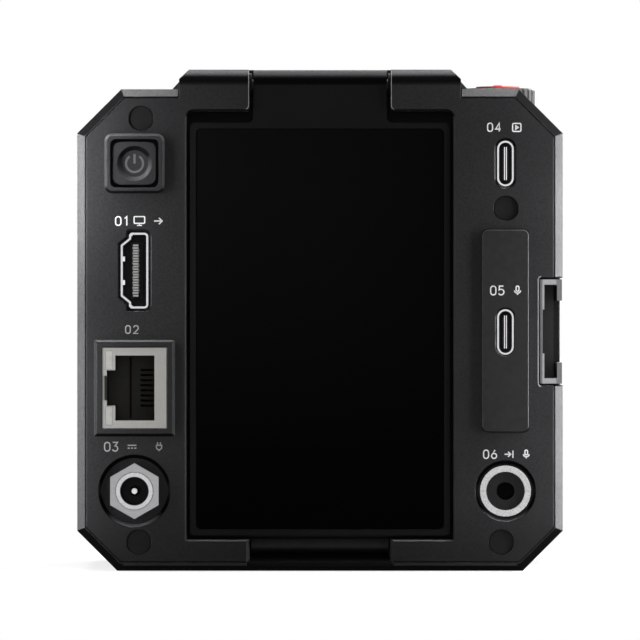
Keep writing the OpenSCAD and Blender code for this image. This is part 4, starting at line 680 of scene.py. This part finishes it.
def round_edges():
    """Rounds the sharp edges of the nodes in ROUNDED."""
    for name, width in ROUNDED.items():
        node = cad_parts[name]
        soft = node.modifiers.new("soft_edges", "BEVEL")
        soft.width = width * MM
        soft.segments = 2
        soft.limit_method = "ANGLE"
        soft.angle_limit = math.radians(35)
        soft.harden_normals = False


# Mesh pieces

def add_piece(name, bm, body, mat):
    """New object of a mesh that rides on a body and takes a material."""
    mesh = bpy.data.meshes.new(name)
    bmesh.ops.recalc_face_normals(bm, faces=bm.faces)
    bm.to_mesh(mesh)
    bm.free()
    obj = bpy.data.objects.new(name, mesh)
    bpy.context.scene.collection.objects.link(obj)
    mesh.materials.append(mat)
    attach(obj, body)
    return obj


def ribbon(bm, points, width, y=REAR_Y, closed=False):
    """Flat band of a width along points in X and Z, sunk into a face at y and standing out from it."""
    n = len(points)
    left, right = [], []
    for i, (px, pz) in enumerate(points):
        before = points[i - 1] if closed or i > 0 else points[i]
        after = points[(i + 1) % n] if closed or i < n - 1 else points[i]
        back = unit(px - before[0], pz - before[1])
        ahead = unit(after[0] - px, after[1] - pz)
        d0 = back or ahead
        d1 = ahead or back
        nx, nz = -(d0[1] + d1[1]), d0[0] + d1[0]
        size = math.hypot(nx, nz) or 1
        nx, nz = nx / size, nz / size
        cosine = max(MITRE_LIMIT, -nx * d0[1] + nz * d0[0])
        half = width / 2 / cosine
        left.append((px + nx * half, pz + nz * half))
        right.append((px - nx * half, pz - nz * half))
    deep, t = y + SINK, SINK + PRINT_T
    skin(bm, [[bm.verts.new((x, deep - rise, z)) for x, z in side]
              for side, rise in ((left, 0), (left, t), (right, t), (right, 0))], closed)


def skin(bm, rows, closed=False):
    """Closes four rows of vertices into a band, with a cap at each end where it is open."""
    n = len(rows[0])
    for a, b in zip(rows, rows[1:] + rows[:1]):
        for i in range(n if closed else n - 1):
            j = (i + 1) % n
            bm.faces.new((a[i], a[j], b[j], b[i]))
    if not closed:
        bm.faces.new([row[0] for row in rows])
        bm.faces.new([row[-1] for row in reversed(rows)])


def unit(x, z):
    """Direction of a step in X and Z, or None where it has no length."""
    size = math.hypot(x, z)
    return (x / size, z / size) if size > 1e-9 else None


def block(bm, low, high):
    """Box between two corners."""
    corners = [bm.verts.new((x, y, z)) for x in (low[0], high[0]) for y in (low[1], high[1])
               for z in (low[2], high[2])]
    for face in ((0, 1, 3, 2), (4, 6, 7, 5), (0, 4, 5, 1), (2, 3, 7, 6), (0, 2, 6, 4), (1, 5, 7, 3)):
        bm.faces.new([corners[i] for i in face])


def arc(cx, cz, r, start, end, steps):
    """Points on an arc, in degrees, anticlockwise as seen from the rear."""
    angles = [math.radians(start + (end - start) * i / steps) for i in range(steps + 1)]
    return [(cx + r * math.cos(angle), cz + r * math.sin(angle)) for angle in angles]


def rounded_box(x0, z0, x1, z1, r):
    """Points round a box with rounded corners."""
    centres = ((x1 - r, z1 - r), (x0 + r, z1 - r), (x0 + r, z0 + r), (x1 - r, z0 + r))
    return [point for k, (cx, cz) in enumerate(centres) for point in arc(cx, cz, r, 90 * k, 90 * k + 90, 4)]


# Numerals and signs: strokes in a unit box, x to 0.6 and z to 1 for a numeral, x to 1.2 for the monitor and
# both to 1 for the other signs, each stroke with whether it is closed
NUMERALS = {
    "0": [(arc(0.3, 0.7, 0.3, 0, 180, 10) + arc(0.3, 0.3, 0.3, 180, 360, 10), True)],
    "1": [([(0.12, 0.78), (0.36, 1.0), (0.36, 0.0)], False)],
    "2": [(arc(0.3, 0.7, 0.3, 170, -40, 12) + [(0.02, 0.0), (0.6, 0.0)], False)],
    "3": [([(0.02, 1.0), (0.56, 1.0), (0.28, 0.6)] + arc(0.28, 0.3, 0.3, 80, -160, 12), False)],
    "4": [([(0.44, 0.0), (0.44, 1.0), (0.0, 0.28), (0.6, 0.28)], False)],
    "5": [([(0.54, 1.0), (0.08, 1.0), (0.05, 0.56)] + arc(0.28, 0.32, 0.32, 110, -150, 12), False)],
    "6": [([(0.42, 1.0), (0.06, 0.48)] + arc(0.3, 0.3, 0.3, 140, -220, 18), False)],
}

SIGNS = {
    "monitor": [(rounded_box(0.0, 0.24, 1.2, 1.0, 0.1), True), ([(0.32, 0.0), (0.88, 0.0)], False),
                ([(0.6, 0.24), (0.6, 0.02)], False)],
    "arrow_out": [([(0.0, 0.5), (0.9, 0.5)], False), ([(0.55, 0.15), (0.92, 0.5), (0.55, 0.85)], False)],
    "arrow_in": [([(0.0, 0.5), (0.72, 0.5)], False), ([(0.42, 0.2), (0.74, 0.5), (0.42, 0.8)], False),
                 ([(1.0, 0.06), (1.0, 0.94)], False)],
    "direct_current": [([(0.0, 0.66), (1.0, 0.66)], False), ([(0.0, 0.34), (0.24, 0.34)], False),
                       ([(0.38, 0.34), (0.62, 0.34)], False), ([(0.76, 0.34), (1.0, 0.34)], False)],
    "plug": [(arc(0.5, 0.46, 0.3, 180, 360, 10) + [(0.8, 0.66), (0.2, 0.66)], True),
             ([(0.34, 0.66), (0.34, 1.0)], False), ([(0.66, 0.66), (0.66, 1.0)], False),
             ([(0.5, 0.16), (0.5, 0.0)], False)],
    "play_screen": [(rounded_box(0.0, 0.0, 1.0, 0.96, 0.16), True),
                    ([(0.38, 0.28), (0.38, 0.68), (0.68, 0.48)], True)],
    "microphone": [(rounded_box(0.34, 0.42, 0.66, 1.0, 0.15), True),
                   (arc(0.5, 0.56, 0.36, 190, 350, 12), False), ([(0.5, 0.2), (0.5, 0.0)], False)],
}


def write(bm, sign, x, z, height, y):
    """Draws a numeral or a sign with its lower left corner at x and z."""
    inset = STROKE / 2
    scale = height - STROKE
    for points, closed in NUMERALS.get(sign) or SIGNS[sign]:
        ribbon(bm, [(x + inset + a * scale, z + inset + b * scale) for a, b in points], STROKE, y, closed)


# Labels: name, ink, face that carries it, then in millimetres height, bottom and each sign's left edge
LABELS = [
    ("label_video_out", "print_bright", REAR_Y, 2.0, 69.0,
     (("0", -41.0), ("1", -39.4), ("monitor", -37.3), ("arrow_out", -33.3))),
    ("label_network", "print_dim", REAR_Y, 1.8, 47.4, (("0", -39.0), ("2", -37.4))),
    ("label_power_in", "print_dim", REAR_Y, 2.0, 23.85,
     (("0", -43.2), ("3", -41.6), ("direct_current", -38.6), ("plug", -33.2))),
    ("label_stream", "print_bright", REAR_Y, 1.9, 87.8, (("0", 33.4), ("4", 35.0), ("play_screen", 38.4))),
    ("label_microphone", "print_bright", DOCK_Y, 2.0, 55.1,
     (("0", 34.0), ("5", 35.6), ("microphone", 38.5))),
    ("label_audio_in", "print_bright", REAR_Y, 1.9, 22.4,
     (("0", 32.6), ("6", 34.2), ("arrow_in", 36.8), ("microphone", 40.3))),
]


def print_labels():
    """Prints the number and the signs over each socket."""
    inks = {name: printed_ink(name, value) for name, value in GREYS.items()}
    for name, ink, y, height, z, signs in LABELS:
        bm = bmesh.new()
        for sign, x in signs:
            write(bm, sign, x * MM, z * MM, height * MM, y)
        add_piece(name, bm, "camera", inks[ink])


def power_symbol():
    """Broken ring and bar in the floor of the power button's dish."""
    bm = bmesh.new()
    ring = arc(-PORT_X, POWER_KEY_Z, 1.70 * MM, 124, 416, 48)
    bar = [(-PORT_X, POWER_KEY_Z), (-PORT_X, POWER_KEY_Z + 1.9 * MM)]
    for points, width in ((ring, 0.44 * MM), (bar, 0.46 * MM)):
        ribbon(bm, points, width)
    add_piece("power_symbol", bm, "power_key", printed_ink("power_ink", 0.12))


# Sockets

def heights(z_mid, count, pitch):
    """Heights of a number of contacts about a middle, their pitch in millimetres."""
    return [z_mid + (i - (count - 1) / 2) * pitch * MM for i in range(count)]


def contacts(bm, places, x, y, width, depth, half):
    """Contacts at some heights, from x over a width that may be negative, and from y over a depth.

    The width, the depth and half the height of a contact are in millimetres.
    """
    left, right = sorted((x, x + width * MM))
    for z in places:
        block(bm, (left, y, z - half * MM), (right, y + depth * MM, z + half * MM))


def hdmi_contacts():
    """Contacts on both sides of the video socket's tongue and across its front."""
    tongue_x = -PORT_X + 0.25 * MM
    front = REAR_Y + 1.0 * MM
    bm = bmesh.new()
    for count, side in ((10, -1), (9, 1)):
        contacts(bm, heights(HDMI_Z, count, 1.0), tongue_x + side * 0.6 * MM, front,
                 width=side * 0.06, depth=6, half=0.24)
    contacts(bm, heights(HDMI_Z, 20, 0.53), tongue_x - 0.56 * MM, front - 0.05 * MM,
             width=1.06, depth=0.1, half=0.17)
    metal = brushed_metal("hdmi_contact", (0.26, 0.255, 0.25), 0.3, 1.0, (1, 20, 1), 1500)
    add_piece("hdmi_contacts", bm, "camera", metal)


def hdmi_spring_tabs(plate):
    """Spring tabs in the left wall of the video socket's shell."""
    left = -PORT_X - 2.35 * MM
    half = 0.48 * MM
    points = [(0.0, 0.45), (0.42, 0.50), (0.46, 2.4), (0.36, 4.2), (0.0, 6.0)]
    bm = bmesh.new()
    for z in HDMI_TABS_Z:
        low, high = [[bm.verts.new((left + dx * MM, REAR_Y + dy * MM, end)) for dx, dy in points]
                     for end in (z - half, z + half)]
        for i in range(len(points) - 1):
            bm.faces.new((low[i], low[i + 1], high[i + 1], high[i]))
    tabs = add_piece("hdmi_spring_tabs", bm, "camera", plate)
    sheet = tabs.modifiers.new("sheet", "SOLIDIFY")
    sheet.thickness = 0.12 * MM


def usb_details(name, z_mid, plate):
    """Contacts on both faces of a data socket's tongue, and the steel plates in its edge."""
    bm = bmesh.new()
    for side in (-1, 1):
        contacts(bm, heights(z_mid, 12, 0.5), PORT_X + side * 0.45 * MM, REAR_Y + 0.75 * MM,
                 width=side * 0.04, depth=4.2, half=0.13)
    metal = brushed_metal(name + "_contact", (0.16, 0.145, 0.115), 0.3, 1.0, (1, 12, 1), 1500)
    add_piece(name + "_contacts", bm, "camera", metal)
    bm = bmesh.new()
    for side in (-1, 1):
        contacts(bm, [z_mid], PORT_X + (side * 0.18 - 0.07) * MM, REAR_Y + 0.52 * MM,
                 width=0.14, depth=1.23, half=3.3)
    add_piece(name + "_edge_plate", bm, "camera", plate)


def lan_details():
    """Latch ridge across the back of the network socket."""
    (left, right), (low, high) = LAN_RIDGE_X, LAN_RIDGE_Z
    bm = bmesh.new()
    block(bm, (left, LAN_BACK_Y - LAN_RIDGE_DEPTH, low), (right, LAN_BACK_Y, high))
    ridge = moulded_plastic("ridge_plastic", (0.020, 0.007, 0.005), 0.5, 0.05)
    add_piece("lan_ridge", bm, "camera", ridge)


# Painted highlights on edges

def ear_edges():
    """Painted highlight along the rounded edge of each hinge ear beside the knuckle: lower corner, side and
    rounded top.
    """
    bm = bmesh.new()
    half = 0.08 * MM
    corner_x, corner_z, corner_r = EAR_INNER_X + 0.86 * MM, EAR_BOTTOM + 1.10 * MM, 0.78 * MM
    for side, start, end in ((-1, -70, 0), (1, 250, 180)):
        x = side * (EAR_INNER_X + half)
        ribbon(bm, arc(side * corner_x, corner_z, corner_r, start, end, 8) + [(x, EAR_TURN_Z)], 2 * half)
        rows = []
        for offset, rise in ((-half, -SINK), (-half, PRINT_T), (half, PRINT_T), (half, -SINK)):
            over = arc(REAR_Y + EAR_RADIUS, EAR_TURN_Z, EAR_RADIUS + rise, 180, 120, 12)
            rows.append([bm.verts.new((x + offset, y, z)) for y, z in over])
        skin(bm, rows)
    # Light grey band painted as the highlight of the rounded edge
    paint = textured_paint("ear_edge_paint", (0.32, 0.32, 0.325), 0.42, 0.03, 3600, 0.004)
    add_piece("ear_edges", bm, "camera", paint)


def shoe_notch_highlight():
    """Painted highlight of the chamfer along the edge of the accessory shoe's notch in the rear cover."""
    bm = bmesh.new()
    x, turn_x, end_x = 43.66 * MM, 43.88 * MM, 44.25 * MM
    width, corner, lift = 0.26 * MM, 0.45 * MM, 0.12 * MM
    low, high = SHOE_RECESS_Z
    ribbon(bm, [(end_x, high + lift), (turn_x, high), (x, high - corner), (x, low + corner), (turn_x, low),
                (end_x, low - lift)], width)
    # Light grey band painted as the highlight of the chamfer
    paint = textured_paint("edge_paint", (0.26, 0.26, 0.265), 0.42, 0.03, 3600, 0.004)
    add_piece("shoe_notch_highlight", bm, "camera", paint)


# Stage, lamps and camera

def white_for_sight(tree, other_strength):
    """Light Path switch: white to what is seen directly or in metal and glass, weaker as a light."""
    path = tree.nodes.new("ShaderNodeLightPath")
    seen = math_node(tree, "MAXIMUM", path.outputs["Is Camera Ray"], path.outputs["Is Glossy Ray"])
    seen = math_node(tree, "MAXIMUM", seen, path.outputs["Is Transmission Ray"])
    return spread(tree, seen, other_strength, 1.0)


def make_world():
    """World that is white to the eye and a faint light on the object."""
    world = bpy.data.worlds.new("studio")
    bpy.context.scene.world = world
    world.use_nodes = True
    tree = world.node_tree
    background = tree.nodes["Background"]
    background.inputs["Color"].default_value = (1, 1, 1, 1)
    tree.links.new(white_for_sight(tree, WORLD_LIGHT), background.inputs["Strength"])


def make_floor():
    """Paper that glows white to the eye, less so near the object, where its shadow shows."""
    bm = bmesh.new()
    corners = ((-1, -1), (1, -1), (1, 1), (-1, 1))
    bm.faces.new([bm.verts.new((x * FLOOR_HALF, y * FLOOR_HALF, FLOOR_Z)) for x, y in corners])
    mesh = bpy.data.meshes.new("floor")
    bm.to_mesh(mesh)
    bm.free()
    floor = bpy.data.objects.new("floor", mesh)
    bpy.context.scene.collection.objects.link(floor)
    mat, tree, shader = material("floor_paper", (0.30, 0.30, 0.30), 0.9, 0.0, 0.0)
    mesh.materials.append(mat)
    place = tree.nodes.new("ShaderNodeTexCoord")
    reach = vector_math(tree, "LENGTH", place.outputs["Object"])["Value"]
    glow = tree.nodes.new("ShaderNodeEmission")
    paper = tree.nodes.new("ShaderNodeBsdfDiffuse")
    paper.inputs["Color"].default_value = (1, 1, 1, 1)
    seen = tree.nodes.new("ShaderNodeMixShader")
    glow_share = map_range(tree, reach, SHADOW_NEAR, SHADOW_FAR, SHADOW_GLOW, 1)
    tree.links.new(glow_share, seen.inputs["Fac"])
    tree.links.new(paper.outputs["BSDF"], seen.inputs[1])
    tree.links.new(glow.outputs["Emission"], seen.inputs[2])
    mix = tree.nodes.new("ShaderNodeMixShader")
    tree.links.new(white_for_sight(tree, 0.0), mix.inputs["Fac"])
    tree.links.new(shader.outputs["BSDF"], mix.inputs[1])
    tree.links.new(seen.outputs["Shader"], mix.inputs[2])
    tree.links.new(mix.outputs["Shader"], tree.nodes["Material Output"].inputs["Surface"])


# Lamps: name, place, point that it faces, size in X and Y of the panel, power
LAMPS = [
    ("edge_left_high", (-0.060, -0.0445, 0.096), (0, -0.034, 0.096), (0.006, 0.068), 0.046),
    ("edge_left_low", (-0.060, -0.0445, 0.0285), (0, -0.034, 0.0285), (0.006, 0.067), 0.020),
    ("edge_right", (0.080, -0.0425, 0.062), (0, -0.038, 0.062), (0.006, 0.13), 0.25),
    ("softbox_top", (0.0, 0.14, 0.90), (0, 0, 0.05), (0.60, 0.50), 6.5),
    ("rear_fill", (0.0, -1.60, 0.30), (0, 0, 0.05), (0.60, 0.60), 1.2),
    ("side_left", (-0.90, 0.30, 0.45), (0, 0, 0.05), (0.60, 0.80), 8.0),
    ("side_right", (0.90, 0.30, 0.45), (0, 0, 0.05), (0.60, 0.80), 8.0),
    ("front_fill", (0.25, 1.1, 0.55), (0, 0, 0.05), (0.80, 0.80), 10.0),
]


def make_lamps():
    """Area lamps, unseen by the camera; the narrow ones beside the edges also don't show in metal."""
    for name, place, target, (width, height), power in LAMPS:
        lamp = bpy.data.lights.new(name, "AREA")
        lamp.shape = "RECTANGLE"
        lamp.size = width
        lamp.size_y = height
        lamp.energy = power
        obj = bpy.data.objects.new(name, lamp)
        bpy.context.scene.collection.objects.link(obj)
        obj.location = place
        way = [target[i] - place[i] for i in range(3)]
        level = math.hypot(way[0], way[1])
        obj.rotation_euler = (math.atan2(level, -way[2]), 0, math.atan2(way[1], way[0]) - math.pi / 2)
        obj.visible_camera = False
        obj.visible_glossy = not name.startswith("edge_")


def make_camera():
    """Camera straight behind the object, level with its middle."""
    data = bpy.data.cameras.new("rear_view")
    data.sensor_width = SENSOR_WIDTH
    data.lens = SENSOR_WIDTH * CAMERA_DISTANCE / VIEW_WIDTH
    data.clip_end = 20
    obj = bpy.data.objects.new("rear_view", data)
    obj.location = (0, REAR_Y - CAMERA_DISTANCE, CAMERA_Z)
    obj.rotation_euler = (math.pi / 2, 0, 0)
    bpy.context.scene.collection.objects.link(obj)
    bpy.context.scene.camera = obj


def main():
    """Builds the whole scene."""
    bpy.context.scene.view_settings.view_transform = "Standard"
    make_camera()
    make_world()
    make_floor()
    make_lamps()
    dress_nodes()
    round_edges()
    print_labels()
    power_symbol()
    plate = brushed_metal("usb_plate", (0.66, 0.66, 0.68), 0.25)
    hdmi_contacts()
    hdmi_spring_tabs(plate)
    usb_details("usb_c_upper", USB_UPPER_Z, plate)
    usb_details("usb_c_lower", USB_LOWER_Z, plate)
    lan_details()
    shoe_notch_highlight()
    ear_edges()


main()
